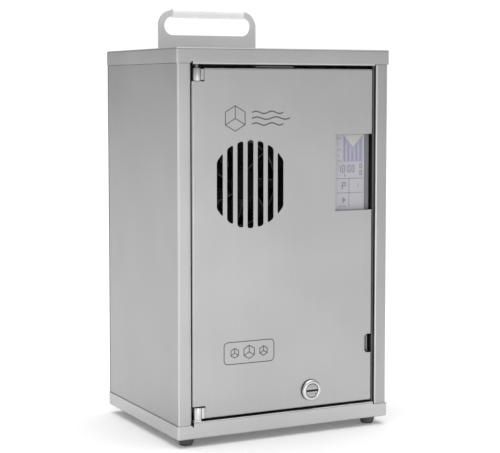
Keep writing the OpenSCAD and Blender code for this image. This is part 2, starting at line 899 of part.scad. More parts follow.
module fan_screws() {
  y0 = fan_y - duct_flange;
  y1 = chassis_y + sheet;
  color(steel_dark) at_fan_holes() {
    rod_y(3.6, y0 - head_h, y0);
    rod_y(screw_r, y0, y1 + nut_t + 1);
    translate([0, y1 + nut_t, 0]) rotate([90, 0, 0]) hex_nut(nut_af, nut_t, screw_r);
  }
}

module fan_rotor() {
  y0 = fan_y + 2;
  color(black) translate([fan_x, 0, fan_z]) {
    rod_y(hub_r, y0, y0 + hub_l);
    rod_y(shaft_r, y0 + hub_l - eps, fan_rear_y);
    intersection() {
      rod_y(blade_r, y0, y0 + hub_l);
      for (i = [0 : fan_blades - 1]) rotate([0, i * 360 / fan_blades, 0])
        translate([blade_r / 2, y0 + hub_l / 2, 0]) rotate([blade_pitch, 0, 0])
          cube([blade_r, 2 * hub_l, blade_t], center = true);
    }
  }
}

module display_bracket() {
  x0 = panel_x0 + bracket_side;
  w = panel_x1 - panel_x0 - 2 * bracket_side;
  y0 = panel_y + panel_depth;
  h = window_h - 10;
  z0 = window_b + 5;
  color(steel_dark) {
    translate([x0, y0, z0]) cube([w, sheet, h]);
    for (z = [z0, z0 + h - sheet]) translate([x0, y0, z]) cube([w, chassis_y - y0, sheet]);
  }
}

module display_housing() {
  z0 = window_b - panel_margin;
  h = window_h + 2 * panel_margin;
  w = panel_x1 - panel_x0;
  color(plastic_grey) difference() {
    translate([panel_x0, panel_y, z0]) cube([w, panel_depth, h]);
    translate([glass_x, panel_y - eps, glass_z]) cube([glass_w, glass_t + eps, glass_h]);
    translate([panel_x0 + housing_wall, panel_y + glass_t + housing_wall, z0 + housing_wall])
      cube([w - 2 * housing_wall, panel_depth, h - 2 * housing_wall]);
  }
}

module display_glass() {
  color(lilac) translate([glass_x, panel_y, glass_z]) cube([glass_w, glass_t, glass_h]);
}

// ---------------------------------------------------------------- electronics

module control_board() {
  color("#2f6b3f") translate([board_x - board_t, board_y, board_z]) cube([board_t, board_w, board_h]);
  color(black) translate([board_x - board_t, board_y, board_z]) {
    translate([-12, 12, 12]) cube([12, 30, 18]);
    translate([-8, 60, 20]) cube([8, 34, 14]);
    for (i = [0 : 3]) translate([-10, 14 + i * 18, 60]) cube([10, 12, 18]);
  }
  color(steel_dark) for (y = [58, 74, 90])
    translate([0, board_y + y, board_z + 52]) rod_x(5, board_x - board_t - 14, board_x - board_t);
}

module board_spacers() {
  color(steel_dark) for (y = [5, board_w - 5], z = [5, board_h - 5])
    translate([0, board_y + y, board_z + z]) rod_x(spacer_r, board_x, inner_x);
}

module power_supply() {
  color(steel_dark) difference() {
    translate([supply_x, supply_y, floor_z]) cube([supply_w, supply_d, supply_h]);
    for (i = [0 : 7]) translate([supply_x + 12 + i * 10, supply_y + 30, floor_z + supply_h - 2])
      cube([4, 60, 3]);
    translate([supply_x + 8, supply_y - eps, floor_z + 16]) cube([supply_w - 16, 12, supply_h]);
  }
  color(black) translate([supply_x + 12, supply_y + 1, floor_z + 16]) cube([supply_w - 24, 9, 10]);
}

module mains_inlet() {
  y1 = rear_out_y + inlet_flange_t;
  y0 = y1 - inlet_depth;
  color(black) translate([inlet_x, 0, inlet_z]) difference() {
    union() {
      translate([-inlet_w / 2, rear_out_y, -inlet_h / 2]) cube([inlet_w, inlet_flange_t, inlet_h]);
      translate([-inlet_body_w / 2 + 0.3, y0, -inlet_body_h / 2 + 0.3])
        cube([inlet_body_w - 0.6, rear_out_y - y0, inlet_body_h - 0.6]);
    }
    translate([socket_dx - socket_w / 2, y1 - socket_depth, socket_dz - socket_h / 2])
      cube([socket_w, socket_depth + eps, socket_h]);
    translate([socket_dx - socket_w / 2, y1 - drawer_depth, drawer_dz - drawer_h / 2])
      cube([socket_w, drawer_depth + eps, drawer_h]);
    translate([rocker_dx - rocker_w / 2 - rocker_gap, rocker_y - rocker_r - 1, -rocker_h / 2 - 1.5])
      cube([rocker_w + 2 * rocker_gap, 2 * rocker_r, rocker_h + 3]);
    translate([rocker_dx, rocker_y, 0]) rod_x(1.5 + running_fit, -rocker_w / 2 - 3, rocker_w / 2 + 3);
  }
  color(steel_dark) for (d = [-7, 0, 7])
    translate([inlet_x + socket_dx + d - 0.75, y1 - socket_depth, inlet_z + socket_dz + (d == 0 ? 1 : -3)])
      cube([1.5, socket_depth - 3, 4]);
}

module fuse_drawer() {
  y1 = rear_out_y + inlet_flange_t;
  color("#2b2b2e") translate([inlet_x + socket_dx, 0, inlet_z + drawer_dz]) difference() {
    translate([-socket_w / 2 + 0.2, y1 - drawer_depth, -drawer_h / 2 + 0.2])
      cube([socket_w - 0.4, drawer_depth, drawer_h - 0.4]);
    translate([-4, y1 - 1.5, drawer_h / 2 - 3]) cube([8, 3, 4]);
  }
}

// Rocker, tilted at rest with its upper end out, which is off
module switch_rocker() {
  color("#26262a") translate([inlet_x + rocker_dx, rocker_y, inlet_z]) rotate([-rocker_tilt, 0, 0])
    difference() {
      union() {
        intersection() {
          rod_x(rocker_r, -rocker_w / 2, rocker_w / 2);
          translate([-rocker_w / 2, -rocker_r + 3, -rocker_h / 2]) cube([rocker_w, rocker_r + 1, rocker_h]);
        }
        rod_x(1.5, -rocker_w / 2 - 2.5, rocker_w / 2 + 2.5);
      }
      translate([0, rocker_r + 21, 0]) rod_x(25, -rocker_w, rocker_w);
    }
}

module filter_frame() {
  color(black) translate([0, rear_y - filter_t, filter_z]) difference() {
    translate([-filter_w / 2, 0, -filter_h / 2]) cube([filter_w, filter_t, filter_h]);
    translate([-filter_w / 2 + filter_wall, 2, -filter_h / 2 + filter_wall])
      cube([filter_w - 2 * filter_wall, filter_t, filter_h - 2 * filter_wall]);
    for (i = [-1 : 1], k = [-1 : 1]) translate([i * 42, 0, k * 37]) cube([38, 12, 33], center = true);
  }
}

module intake_filter() {
  w = filter_w - 2 * filter_wall - 1;
  h = filter_h - 2 * filter_wall - 1;
  color(white) translate([-w / 2, rear_y - filter_t + 2, filter_z - h / 2]) cube([w, 8, h]);
}

// ---------------------------------------------------------------- salt feed and mill

module process_shelf() {
  d = shelf_rear_y - shelf_front_y;
  color(steel_dark) difference() {
    union() {
      translate([-inner_x, shelf_front_y, shelf_z]) cube([2 * inner_x, d, sheet]);
      for (x = [-inner_x, inner_x - sheet])
        translate([x, shelf_front_y, shelf_z - shelf_flange]) cube([sheet, d, shelf_flange]);
    }
    translate([mill_x, mill_y, shelf_z - eps]) cylinder(r = mill_boss_r + nut_play, h = sheet + 2 * eps);
    at_mill_screws() translate([0, 0, shelf_z - eps]) cylinder(r = hole_r, h = sheet + 2 * eps);
  }
}

module mill_motor() {
  color(steel_dark) difference() {
    union() {
      translate([mill_x, mill_y, shelf_z - motor_l]) cylinder(r = motor_r, h = motor_l);
      translate([mill_x, mill_y, shelf_z]) cylinder(r = mill_boss_r, h = sheet);
      translate([mill_x, mill_y, shelf_z - motor_l - 6]) cylinder(r = motor_r / 3, h = 6);
    }
    translate([mill_x, mill_y, shelf_z - 16]) cylinder(r = mill_shaft_r + running_fit, h = 20);
    at_mill_screws() translate([0, 0, shelf_z - 8]) cylinder(r = screw_r + nut_play, h = 20);
    for (z = [14 : 8 : 46]) translate([mill_x, mill_y, shelf_z - motor_l + z]) difference() {
      cylinder(r = motor_r + 1, h = 3);
      cylinder(r = motor_r - 1.5, h = 3);
    }
  }
}

module mill_screws() {
  z = mill_base_z + mill_wall;
  color(steel_dark) at_mill_screws() {
    translate([0, 0, z]) cylinder(r = 3.6, h = head_h);
    translate([0, 0, shelf_z - 8]) cylinder(r = screw_r, h = z - shelf_z + 8);
  }
}

module mill_housing() {
  color(steel) difference() {
    union() {
      translate([mill_x, mill_y, mill_base_z]) cylinder(r = mill_r, h = mill_h);
      translate([0, mill_y, port_z]) rod_x(port_r, port_end_x, mill_x - mill_r + 4);
    }
    translate([mill_x, mill_y, mill_base_z + mill_wall]) cylinder(r = mill_r - mill_wall, h = mill_h);
    translate([0, mill_y, port_z]) rod_x(port_r - port_wall, port_end_x - eps, mill_x);
    translate([mill_x, mill_y, mill_base_z - eps]) cylinder(r = mill_shaft_r + 2, h = mill_wall + 2 * eps);
    at_mill_screws() translate([0, 0, mill_base_z - eps]) cylinder(r = hole_r, h = mill_wall + 2 * eps);
  }
}

module mill_cover() {
  color(steel) translate([mill_x, mill_y, mill_top_z]) difference() {
    cylinder(r = mill_r, h = mill_cover_t);
    translate([0, 0, -eps]) cylinder(r = drop_bore_r, h = mill_cover_t + 2 * eps);
  }
}

// Shaft, hub and four swinging bars, shown as one rigid beater
module mill_rotor() {
  z0 = mill_base_z + mill_wall + 6;
  color(chrome) translate([mill_x, mill_y, 0]) {
    translate([0, 0, shelf_z - 14]) cylinder(r = mill_shaft_r, h = z0 + 12 - shelf_z + 14);
    translate([0, 0, z0]) cylinder(r = 12, h = 12);
    for (a = [0 : 90 : 270]) rotate([0, 0, a])
      translate([8, -4, z0 + 3]) cube([mill_r - mill_wall - 12, 8, 5]);
  }
}

module drop_tube() {
  z0 = mill_top_z + mill_cover_t;
  color(steel) difference() {
    union() {
      translate([mill_x, mill_y, z0]) cylinder(r = drop_r, h = drop_gap);
      translate([mill_x, mill_y, z0]) cylinder(r = drop_r + 4, h = 2);
      translate([mill_x, mill_y, z0 + drop_gap - 2]) cylinder(r = drop_r + 4, h = 2);
    }
    translate([mill_x, mill_y, z0 - eps]) cylinder(r = drop_bore_r, h = drop_gap + 2 * eps);
  }
}

module feed_tube() {
  color(steel) difference() {
    union() {
      translate([0, mill_y, feed_z]) rod_x(feed_r, feed_x0, feed_x1);
      translate([mill_x, mill_y, feed_z - feed_r - feed_collar]) cylinder(r = drop_r + 3, h = feed_r);
      translate([throat_x - throat_w / 2, mill_y - throat_d / 2, feed_z])
        cube([throat_w, throat_d, throat_z - feed_z]);
    }
    translate([0, mill_y, feed_z]) rod_x(feed_r - feed_wall, feed_x0 + feed_cap_t, feed_x1 + eps);
    translate([mill_x, mill_y, feed_z - 2 * feed_r]) cylinder(r = drop_bore_r, h = 2 * feed_r);
    translate([throat_x - throat_w / 2 + throat_wall, mill_y - throat_d / 2 + throat_wall, feed_z])
      cube([throat_w - 2 * throat_wall, throat_d - 2 * throat_wall, 40]);
  }
}

// Core with one helical flight; its square end turns in the feed motor's sleeve
module feed_screw() {
  l = feed_x1 - feed_x0 - feed_cap_t - 4;
  x0 = feed_x0 + feed_cap_t + 2;
  color(chrome) translate([0, mill_y, feed_z]) {
    rod_x(screw_core_r, x0, feed_x1 + 10);
    translate([x0, 0, 0]) rotate([0, 90, 0])
      linear_extrude(l, twist = 360 * screw_turns, slices = 12 * screw_turns, segments = 4)
        translate([screw_core_r - 1, -1]) square([screw_flight_r - screw_core_r + 1, 2]);
  }
}

module feed_motor() {
  color(steel_dark) translate([0, mill_y, feed_z]) difference() {
    union() {
      rod_x(gearbox_r, feed_x1, feed_x1 + gearbox_l);
      rod_x(feed_motor_r, feed_x1 + gearbox_l, feed_x1 + gearbox_l + feed_motor_l);
    }
    rod_x(screw_core_r + running_fit, feed_x1 - eps, feed_x1 + 12);
  }
}

// Box with a funnel below it; the lid's lugs stand on its rear wall
module salt_hopper() {
  color(steel_light) translate([throat_x, mill_y, 0]) difference() {
    union() {
      translate([-hopper_w / 2, -hopper_d / 2, hopper_z]) cube([hopper_w, hopper_d, hopper_top - hopper_z]);
      hull() {
        translate([-throat_w / 2, -throat_d / 2, throat_z]) cube([throat_w, throat_d, 1]);
        translate([-hopper_w / 2, -hopper_d / 2, hopper_z - 1]) cube([hopper_w, hopper_d, 1]);
      }
      for (sx = [-1, 1])
        translate([sx * (hopper_w / 2 - lug_in) - lug_t / 2, hopper_d / 2 - 1, hopper_top - lug_h])
          cube([lug_t, 2 * lid_pivot_back + 1, lug_h + lid_pivot_z - hopper_top + 4]);
    }
    translate([-hopper_w / 2 + hopper_wall, -hopper_d / 2 + hopper_wall, hopper_z])
      cube([hopper_w - 2 * hopper_wall, hopper_d - 2 * hopper_wall, 200]);
    hull() {
      translate([-throat_w / 2 + throat_wall, -throat_d / 2 + throat_wall, throat_z - eps])
        cube([throat_w - 2 * throat_wall, throat_d - 2 * throat_wall, 1]);
      translate([-hopper_w / 2 + hopper_wall, -hopper_d / 2 + hopper_wall, hopper_z])
        cube([hopper_w - 2 * hopper_wall, hopper_d - 2 * hopper_wall, 1]);
    }
    translate([0, lid_pivot_y - mill_y, lid_pivot_z]) rod_x(lid_pin_r + 0.02, -hopper_w, hopper_w);
  }
}

module hopper_lid_pin() {
  color(steel_dark) translate([throat_x, lid_pivot_y, lid_pivot_z])
    rod_x(lid_pin_r, -hopper_w / 2, hopper_w / 2);
}

module hopper_lid() {
  knuckle = hopper_w / 2 - lug_in - lug_t / 2 - 0.5;
  color(steel) difference() {
    union() {
      translate([throat_x - hopper_w / 2, mill_y - hopper_d / 2 - 3, hopper_top + lid_lift])
        cube([hopper_w, hopper_d - 1, lid_t]);
      translate([throat_x - knuckle, mill_y + hopper_d / 2 - 5, hopper_top + lid_lift])
        cube([2 * knuckle, lid_pivot_back + 5, lid_t]);
      translate([throat_x, lid_pivot_y, lid_pivot_z]) rod_x(lid_pin_r + 1.5, -knuckle, knuckle);
      translate([throat_x, mill_y - hopper_d / 2 + 12, hopper_top + lid_lift])
        cylinder(r = knob_r, h = knob_h);
    }
    translate([throat_x, lid_pivot_y, lid_pivot_z]) rod_x(lid_pin_r + running_fit, -hopper_w, hopper_w);
  }
}

// Pipe from the mill's port up to the chamber behind the fan
module aerosol_pipe() {
  color(plastic_grey) {
    translate([riser_x + elbow_r, mill_y, port_z]) rotate([0, 90, 0])
      pipe(port_r, port_wall, port_end_x - riser_x - elbow_r);
    translate([riser_x + elbow_r, mill_y, port_z + elbow_r]) rotate([90, 0, 0]) rotate([0, 0, 180])
      rotate_extrude(angle = 90) translate([elbow_r, 0]) ring_profile();
    translate([riser_x, mill_y, port_z + elbow_r]) pipe(port_r, port_wall, riser_top - port_z - elbow_r);
    translate([riser_x, mill_y - elbow_r, riser_top]) rotate([0, 0, 90]) rotate([90, 0, 0])
      rotate_extrude(angle = 90) translate([elbow_r, 0]) ring_profile();
    translate([riser_x, mill_y - elbow_r, riser_top + elbow_r]) rotate([90, 0, 0])
      pipe(port_r, port_wall, mill_y - elbow_r - outlet_y);
  }
}

module ring_profile() {
  difference() {
    circle(port_r);
    circle(port_r - port_wall);
  }
}

// Bundle of wires that lies along the left wall, from the back of the power supply to the fan
module wiring_loom() {
  color(black) {
    translate([loom_start_x, 0, loom_z]) rod_y(loom_r, supply_y + supply_d, loom_y);
    translate([0, loom_y, loom_z]) rod_x(loom_r, loom_x, loom_start_x);
    translate([loom_x, loom_y, loom_z]) cylinder(r = loom_r, h = loom_top - loom_z);
    translate([loom_x, 0, loom_top]) rod_y(loom_r, loom_end_y, loom_y);
    translate([0, loom_end_y, loom_top]) rod_x(loom_r, loom_x, loom_end_x);
    translate([loom_end_x, 0, loom_top]) rod_y(loom_r, fan_rear_y, loom_end_y);
    translate([loom_start_x, loom_y, loom_z]) sphere(loom_r);
    translate([loom_x, loom_y, loom_z]) sphere(loom_r);
    translate([loom_x, loom_y, loom_top]) sphere(loom_r);
    translate([loom_x, loom_end_y, loom_top]) sphere(loom_r);
    translate([loom_end_x, loom_end_y, loom_top]) sphere(loom_r);
  }
}

module foot_front_left() {
  foot(-1, -1);
}

module foot_front_right() {
  foot(1, -1);
}

module foot_rear_left() {
  foot(-1, 1);
}

module foot_rear_right() {
  foot(1, 1);
}

// ---------------------------------------------------------------- output

left_side_panel();
right_side_panel();
top_cap();
bottom_tray();
rear_panel();
rear_panel_screws();
handle_plate();
handle_grip();
handle_screws();
handle_nuts();
foot_front_left();
foot_front_right();
foot_rear_left();
foot_rear_right();
foot_screws();
upper_hinge_pin();
lower_hinge_pin();
hinge_washer();
door_panel();
upper_hinge_barrel();
lower_hinge_barrel();
finger_pull();
lock_body();
lock_nut();
lock_plug();
lock_cam();
lock_cam_nut();
chassis_plate();
fan_frame();
fan_duct();
fan_screws();
fan_rotor();
display_bracket();
display_housing();
display_glass();
control_board();
board_spacers();
power_supply();
mains_inlet();
fuse_drawer();
switch_rocker();
filter_frame();
intake_filter();
process_shelf();
salt_hopper();
hopper_lid();
hopper_lid_pin();
feed_tube();
feed_screw();
feed_motor();
drop_tube();
mill_housing();
mill_cover();
mill_rotor();
mill_motor();
mill_screws();
aerosol_pipe();
wiring_loom();
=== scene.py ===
import json
import math
from contextlib import contextmanager

import bmesh
import bpy
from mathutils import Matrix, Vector


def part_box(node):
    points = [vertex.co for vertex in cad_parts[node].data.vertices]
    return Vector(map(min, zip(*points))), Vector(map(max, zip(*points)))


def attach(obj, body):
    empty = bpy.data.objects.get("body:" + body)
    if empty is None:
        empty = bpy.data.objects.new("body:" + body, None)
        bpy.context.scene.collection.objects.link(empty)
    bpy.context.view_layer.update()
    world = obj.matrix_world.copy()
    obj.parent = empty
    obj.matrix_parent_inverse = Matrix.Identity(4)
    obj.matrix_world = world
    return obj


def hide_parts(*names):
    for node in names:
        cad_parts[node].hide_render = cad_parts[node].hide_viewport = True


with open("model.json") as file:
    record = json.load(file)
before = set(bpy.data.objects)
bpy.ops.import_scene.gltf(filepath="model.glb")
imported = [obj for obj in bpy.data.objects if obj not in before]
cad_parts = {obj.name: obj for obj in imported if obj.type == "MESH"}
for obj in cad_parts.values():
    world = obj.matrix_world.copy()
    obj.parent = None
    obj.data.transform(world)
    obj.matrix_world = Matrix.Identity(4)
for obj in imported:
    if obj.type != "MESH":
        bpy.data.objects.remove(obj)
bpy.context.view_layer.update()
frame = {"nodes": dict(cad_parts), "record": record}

bl_info = {
    "name": "Salt Generator Cabinet",
    "version": (1, 0, 0),
    "blender": (4, 5, 0),
    "location": "View3D > Sidebar > Salt Cabinet",
    "description": "Builds the sheet-metal case, door, fan, display and fittings of a dry salt generator",
    "category": "Add Mesh",
}

MM = 0.001
TINY = 1e-5
MERGE = TINY / 5
WHITE = (1.0, 1.0, 1.0)
SCREW_HOLE = 2.2 * MM
HALF_TURN = math.pi
RIGHT_ANGLE = math.pi / 2


# ---------------------------------------------------------------- sizes and colours


def length(name, text, default_mm):
    """A length property whose default is given in millimetres."""
    return bpy.props.FloatProperty(
        name=name, description=text, default=default_mm * MM, min=0.0, unit="LENGTH", precision=5
    )


def colour(name, text, default):
    """A linear colour property."""
    return bpy.props.FloatVectorProperty(
        name=name, description=text, default=default, subtype="COLOR", size=3, min=0.0, max=1.0
    )


class SaltCabinetSizes(bpy.types.PropertyGroup):
    """Sizes that the case, the door and the fittings are drawn with"""

    sheet: length("Sheet", "Thickness of the cabinet sheet", 1.5)
    bend: length("Bend", "Outer radius of the sheet bends", 2.5)
    edge: length("Edge", "Width of the broken edge on cut sheet", 0.22)
    cap_skirt: length("Cap skirt", "Height of the skirt round the cap", 19.5)
    tray_skirt: length("Tray skirt", "Height of the skirt round the tray", 18.0)
    rail_depth: length("Rail depth", "Depth of the header and sill flanges", 16.0)
    sill_lip: length("Sill lip", "Height of the lip that the cam hooks behind", 13.0)
    notch_width: length("Notch width", "Width of the relief notches beside the doorway", 2.5)
    notch_height: length("Notch height", "Height of the relief notches beside the doorway", 2.0)
    door_return: length("Door return", "Depth of the door's folded edges", 12.0)
    pillar_lip: length("Pillar lip", "Depth of the lips on the pillars", 12.5)
    rear_flange: length("Rear flange", "Width of the rear flanges of the side panels", 15.0)
    lip_step_in: length("Step depth", "Depth at which the lock-side lip steps inwards", 5.0)
    lip_step: length("Step width", "How far the lock-side lip steps inwards", 2.3)
    slot_width: length("Slot width", "Width of a grille slot", 8.5)
    slot_pitch: length("Slot pitch", "Distance between grille slots", 14.67)
    grille_radius: length("Grille radius", "Radius of the circle that the slots fill", 57.0)
    slot_round: length("Slot corners", "Radius of the corners of a grille slot", 3.0)
    window_width: length("Window width", "Width of the display window", 57.5)
    window_height: length("Window height", "Height of the display window", 102.3)
    pull_round: length("Pull corners", "Radius of the corners of the finger pull", 5.5)
    hinge_cut: length("Hinge cut", "Width of the corner cuts for the hinge barrels", 17.9)
    mark_line: length("Mark line", "Width of the etched lines", 1.25)
    mark_rise: length("Mark film", "Thickness of the etched marks' film", 0.04)


class SaltCabinetLooks(bpy.types.PropertyGroup):
    """Colours and finishes of the cabinet's materials"""

    steel: colour("Steel", "Brushed steel of the cap and the inner works", (0.48, 0.48, 0.482))
    side_steel: colour("Side steel", "Brushed steel of the side panels", (0.405, 0.405, 0.408))
    # pillar steel: the left pillar's front is a lighter copy of the side steel (painted light); the right
    # pillar's front is a little darker (painted shade)
    pillar_steel: colour("Pillar steel", "Brushed steel of the pillars' fronts", (0.46, 0.46, 0.463))
    # bend steel: a lighter steel that paints a highlight along the rounded upright bends
    bend_steel: colour("Bend steel", "Steel rubbed bright along the upright bends", (0.66, 0.66, 0.66))
    # tray steel: a lighter copy of the steel on the tray, a painted reflection of the bright floor
    tray_steel: colour("Tray steel", "Brushed steel of the tray", (0.525, 0.525, 0.527))
    # top steel: a much lighter copy of the steel for the cap's upper face, painted light from above
    lit_top_steel: colour("Top steel", "Brushed steel of the cap's upper face", (0.80, 0.80, 0.80))
    # handle steel: a lighter copy of the steel for the handle plate's front, painted light
    handle_steel: colour("Handle steel", "Brushed steel of the handle plate", (0.69, 0.69, 0.69))
    door_steel: colour("Door steel", "Brushed steel of the door", (0.445, 0.445, 0.448))
    # lip steel: dark steel that paints shade on the lock-side lip and the door's returns in the gaps; the
    # hinge pins also take it as dull steel
    lip_steel: colour("Lip steel", "Dull unpolished steel of the lock-side lip", (0.18, 0.18, 0.182))
    zinc: colour("Zinc", "Plated fasteners and brackets", (0.50, 0.51, 0.53))
    chrome: colour("Chrome", "Lock and hinge barrels", (0.67, 0.67, 0.68))
    lock_face: colour("Lock face", "Satin face of the lock's plug", (0.40, 0.40, 0.405))
    # recess: a dark colour that paints shade in the lock's groove, under its rim and in the plug's slot
    recess: colour("Recess", "Dark grooves and slots of the lock", (0.03, 0.03, 0.032))
    rubber: colour("Rubber", "Feet", (0.085, 0.085, 0.088))
    black: colour("Black plastic", "Fan, inlet and filter frame", (0.012, 0.012, 0.014))
    grey: colour("Grey plastic", "Display housing and air pipe", (0.165, 0.165, 0.18))
    white: colour("White plastic", "Grip", (0.95, 0.95, 0.94))
    screen: colour("Screen", "Background of the display", (0.415, 0.413, 0.445))
    screen_field: colour("Screen field", "Graph field of the display", (0.33, 0.315, 0.43))
    screen_ink: colour("Screen ink", "Dark marks of the display", (0.225, 0.215, 0.285))
    etch: colour("Etch", "Etched marks on the door", (0.13, 0.13, 0.14))
    board: colour("Board", "Circuit board", (0.015, 0.10, 0.045))
    mat: colour("Filter mat", "Fibre mat of the intake filter", (0.72, 0.72, 0.69))
    grain: bpy.props.FloatProperty(
        name="Grain", description="Strength of the brushed grain", default=1.0, min=0.0, max=3.0
    )
    light: bpy.props.FloatProperty(
        name="Light", description="Strength of the studio lights", default=1.0, min=0.0, max=5.0
    )


def sizes():
    return bpy.context.scene.salt_cabinet_sizes


def looks():
    return bpy.context.scene.salt_cabinet_looks


# ---------------------------------------------------------------- shader maths


class Value:
    """A node socket that can be used in sums"""

    def __init__(self, tree, socket):
        self.tree = tree
        self.socket = socket

    def _math(self, operation, *terms):
        node = self.tree.nodes.new("ShaderNodeMath")
        node.operation = operation
        for slot, term in zip(node.inputs, terms):
            if isinstance(term, Value):
                self.tree.links.new(term.socket, slot)
            else:
                slot.default_value = term
        return Value(self.tree, node.outputs[0])

    def __add__(self, other):
        return self._math("ADD", self, other)

    def __mul__(self, other):
        return self._math("MULTIPLY", self, other)


class Nodes:
    """A node tree, and the one way that nodes are added to it"""

    def __init__(self, tree):
        self.tree = tree

    def node(self, kind, settings=None, output=0, **values):
        """Adds a node, sets it up, fills its sockets and returns one of its outputs."""
        node = self.tree.nodes.new("ShaderNode" + kind)
        for key, value in (settings or {}).items():
            setattr(node, key, value)
        for socket, value in values.items():
            target = node.inputs[int(socket[1:])] if socket[1:].isdigit() else node.inputs[socket]
            if isinstance(value, Value):
                self.tree.links.new(value.socket, target)
            else:
                target.default_value = value
        return Value(self.tree, node.outputs[output])


class Finish(Nodes):
    """A material with one Principled shader, and helpers that add nodes to it"""

    def __init__(self, name, **constants):
        self.material = bpy.data.materials.new(name)
        self.material.use_nodes = True
        super().__init__(self.material.node_tree)
        self.shader = self.tree.nodes["Principled BSDF"]
        for socket, value in constants.items():
            self.shader.inputs[socket.replace("_", " ")].default_value = value

    def place(self, stretch=(1.0, 1.0, 1.0)):
        """Object coordinates, stretched along the axes."""
        spot = self.node("TexCoord", output=3)
        return self.node("Mapping", Vector=spot, Scale=stretch)

    def noise(self, where, scale, detail=3.0, roughness=0.5):
        """A grey noise about one half."""
        return self.node("TexNoise", Vector=where, Scale=scale, Detail=detail, Roughness=roughness)

    def blend(self, factor, first, second):
        """A mix of two colours."""
        ends = [end if isinstance(end, Value) else (*end, 1.0) for end in (first, second)]
        return self.node("Mix", {"data_type": "RGBA"}, 2, _0=factor, _6=ends[0], _7=ends[1])

    def swing_of(self, factor, tint, darker, lighter):
        """A colour that swings between a darker and a lighter shade of one tint."""
        return self.blend(factor, shade_of(tint, darker), shade_of(tint, lighter))

    def bump(self, height, distance, strength=1.0):
        """A normal raised by a height."""
        return self.node("Bump", Height=height, Distance=distance, Strength=strength)

    def feed(self, **links):
        """Links values to the shader's own sockets."""
        for socket, value in links.items():
            self.tree.links.new(value.socket, self.shader.inputs[socket.replace("_", " ")])
        return self.material


def shade_of(tint, amount):
    """A colour made lighter or darker."""
    return tuple(min(1.0, c * amount) for c in tint)


def drawn_out(axis, share):
    """A scale that draws noise out along one axis."""
    return tuple(share if i == axis else 1.0 for i in range(3))


_finishes = {}


def finish_named(name):
    """The material of that name, made when it is first asked for."""
    if name not in _finishes:
        _finishes[name] = FINISHES[name](name)
    return _finishes[name]


def brushed(name, tint, along, roughness, streaks=1.0):
    """Brushed sheet: fine grain and long soft streaks along one axis, with faint clouding."""
    paint = Finish(name, Metallic=1.0)
    grain = looks().grain
    fine = paint.noise(paint.place(drawn_out(along, 0.012)), 2600.0, 2.0)
    streak = paint.noise(paint.place(drawn_out(along, 0.02)), 260.0, 4.0, 0.6)
    cloud = paint.noise(paint.place(), 9.0, 2.0)
    share = 0.18 * grain * streaks
    shade = fine * share + streak * share + cloud * 0.45 + (0.5 - share - 0.225)
    tone = paint.swing_of(shade, tint, 0.76, 1.24)
    rough = fine * (0.10 * grain) + cloud * 0.05 + (roughness - 0.05 * grain - 0.025)
    height = fine + streak * 0.5
    return paint.feed(
        Base_Color=tone, Roughness=rough, Normal=paint.bump(height, 0.000012, 0.6 * grain)
    )


def case_steel_level(name):
    return brushed(name, looks().steel, 0, 0.36)


def case_steel_upright(name):
    return brushed(name, looks().side_steel, 2, 0.38, 0.7)


def case_steel_top(name):
    return brushed(name, looks().lit_top_steel, 0, 0.5)


# painted shade: a darker copy of the steel that damps the highlight on the cap's rounded top edges
def case_steel_bend(name):
    return brushed(name, shade_of(looks().steel, 0.8), 0, 0.5)


def tray_steel(name):
    return brushed(name, looks().tray_steel, 0, 0.38)


def handle_steel(name):
    return brushed(name, looks().handle_steel, 0, 0.45)


def pillar_steel(name):
    return brushed(name, looks().pillar_steel, 2, 0.38, 0.7)


def pillar_steel_right(name):
    return brushed(name, shade_of(looks().pillar_steel, 0.9), 2, 0.38, 0.7)


# painted highlight: a lighter copy of the steel for the rounded upright bends
def bend_steel(name):
    return brushed(name, looks().bend_steel, 2, 0.42, 0.5)


# painted shade on the lip and the door's returns in the gaps; dull steel on the hinge pins
def lip_steel(name):
    return brushed(name, looks().lip_steel, 2, 0.5)


def door_steel(name):
    return brushed(name, looks().door_steel, 2, 0.37, 0.6)


def plated(name, tint, roughness, spread):
    """Smooth metal with faint mottling."""
    paint = Finish(name, Metallic=1.0)
    mottle = paint.noise(paint.place(), 420.0, 3.0)
    tone = paint.swing_of(mottle, tint, 1.0 - spread, 1.0 + spread)
    return paint.feed(Base_Color=tone, Roughness=mottle * 0.12 + (roughness - 0.06))


def zinc(name):
    return plated(name, looks().zinc, 0.36, 0.14)


def chrome(name):
    return plated(name, looks().chrome, 0.32, 0.04)


def lock_face(name):
    return plated(name, looks().lock_face, 0.34, 0.16)


# painted shade for the lock's groove, rim and slot
def recess(name):
    return plated(name, looks().recess, 0.6, 0.2)


def motor_steel(name):
    return plated(name, shade_of(looks().zinc, 0.7), 0.42, 0.08)


def moulded(name, tint, roughness, grain_size, grain_height, **constants):
    """Moulded plastic or rubber with a fine skin texture."""
    paint = Finish(name, Metallic=0.0, **constants)
    skin = paint.noise(paint.place(), grain_size, 3.0, 0.6)
    cloud = paint.noise(paint.place(), 30.0, 2.0)
    tone = paint.swing_of(cloud, tint, 0.86, 1.14)
    rough = skin * 0.14 + (roughness - 0.07)
    return paint.feed(Base_Color=tone, Roughness=rough, Normal=paint.bump(skin, grain_height, 0.5))


def rubber(name):
    return moulded(name, looks().rubber, 0.72, 1400.0, 0.00006)


def black_plastic(name):
    return moulded(name, looks().black, 0.40, 1800.0, 0.00002)


# painted shadow: the dark colour of the strips under the cap's skirt
def seal(name):
    return moulded(name, (0.11, 0.11, 0.112), 0.6, 900.0, 0.00002)


# painted shade: a much darker, dull copy of the black plastic for the fan's hub behind the grille
def hub_plastic(name):
    return moulded(name, shade_of(looks().black, 0.4), 0.7, 900.0, 0.00001, Specular_IOR_Level=0.1)


def fan_plastic(name):
    return moulded(name, shade_of(looks().black, 1.6), 0.16, 900.0, 0.00001, Coat_Weight=0.7)


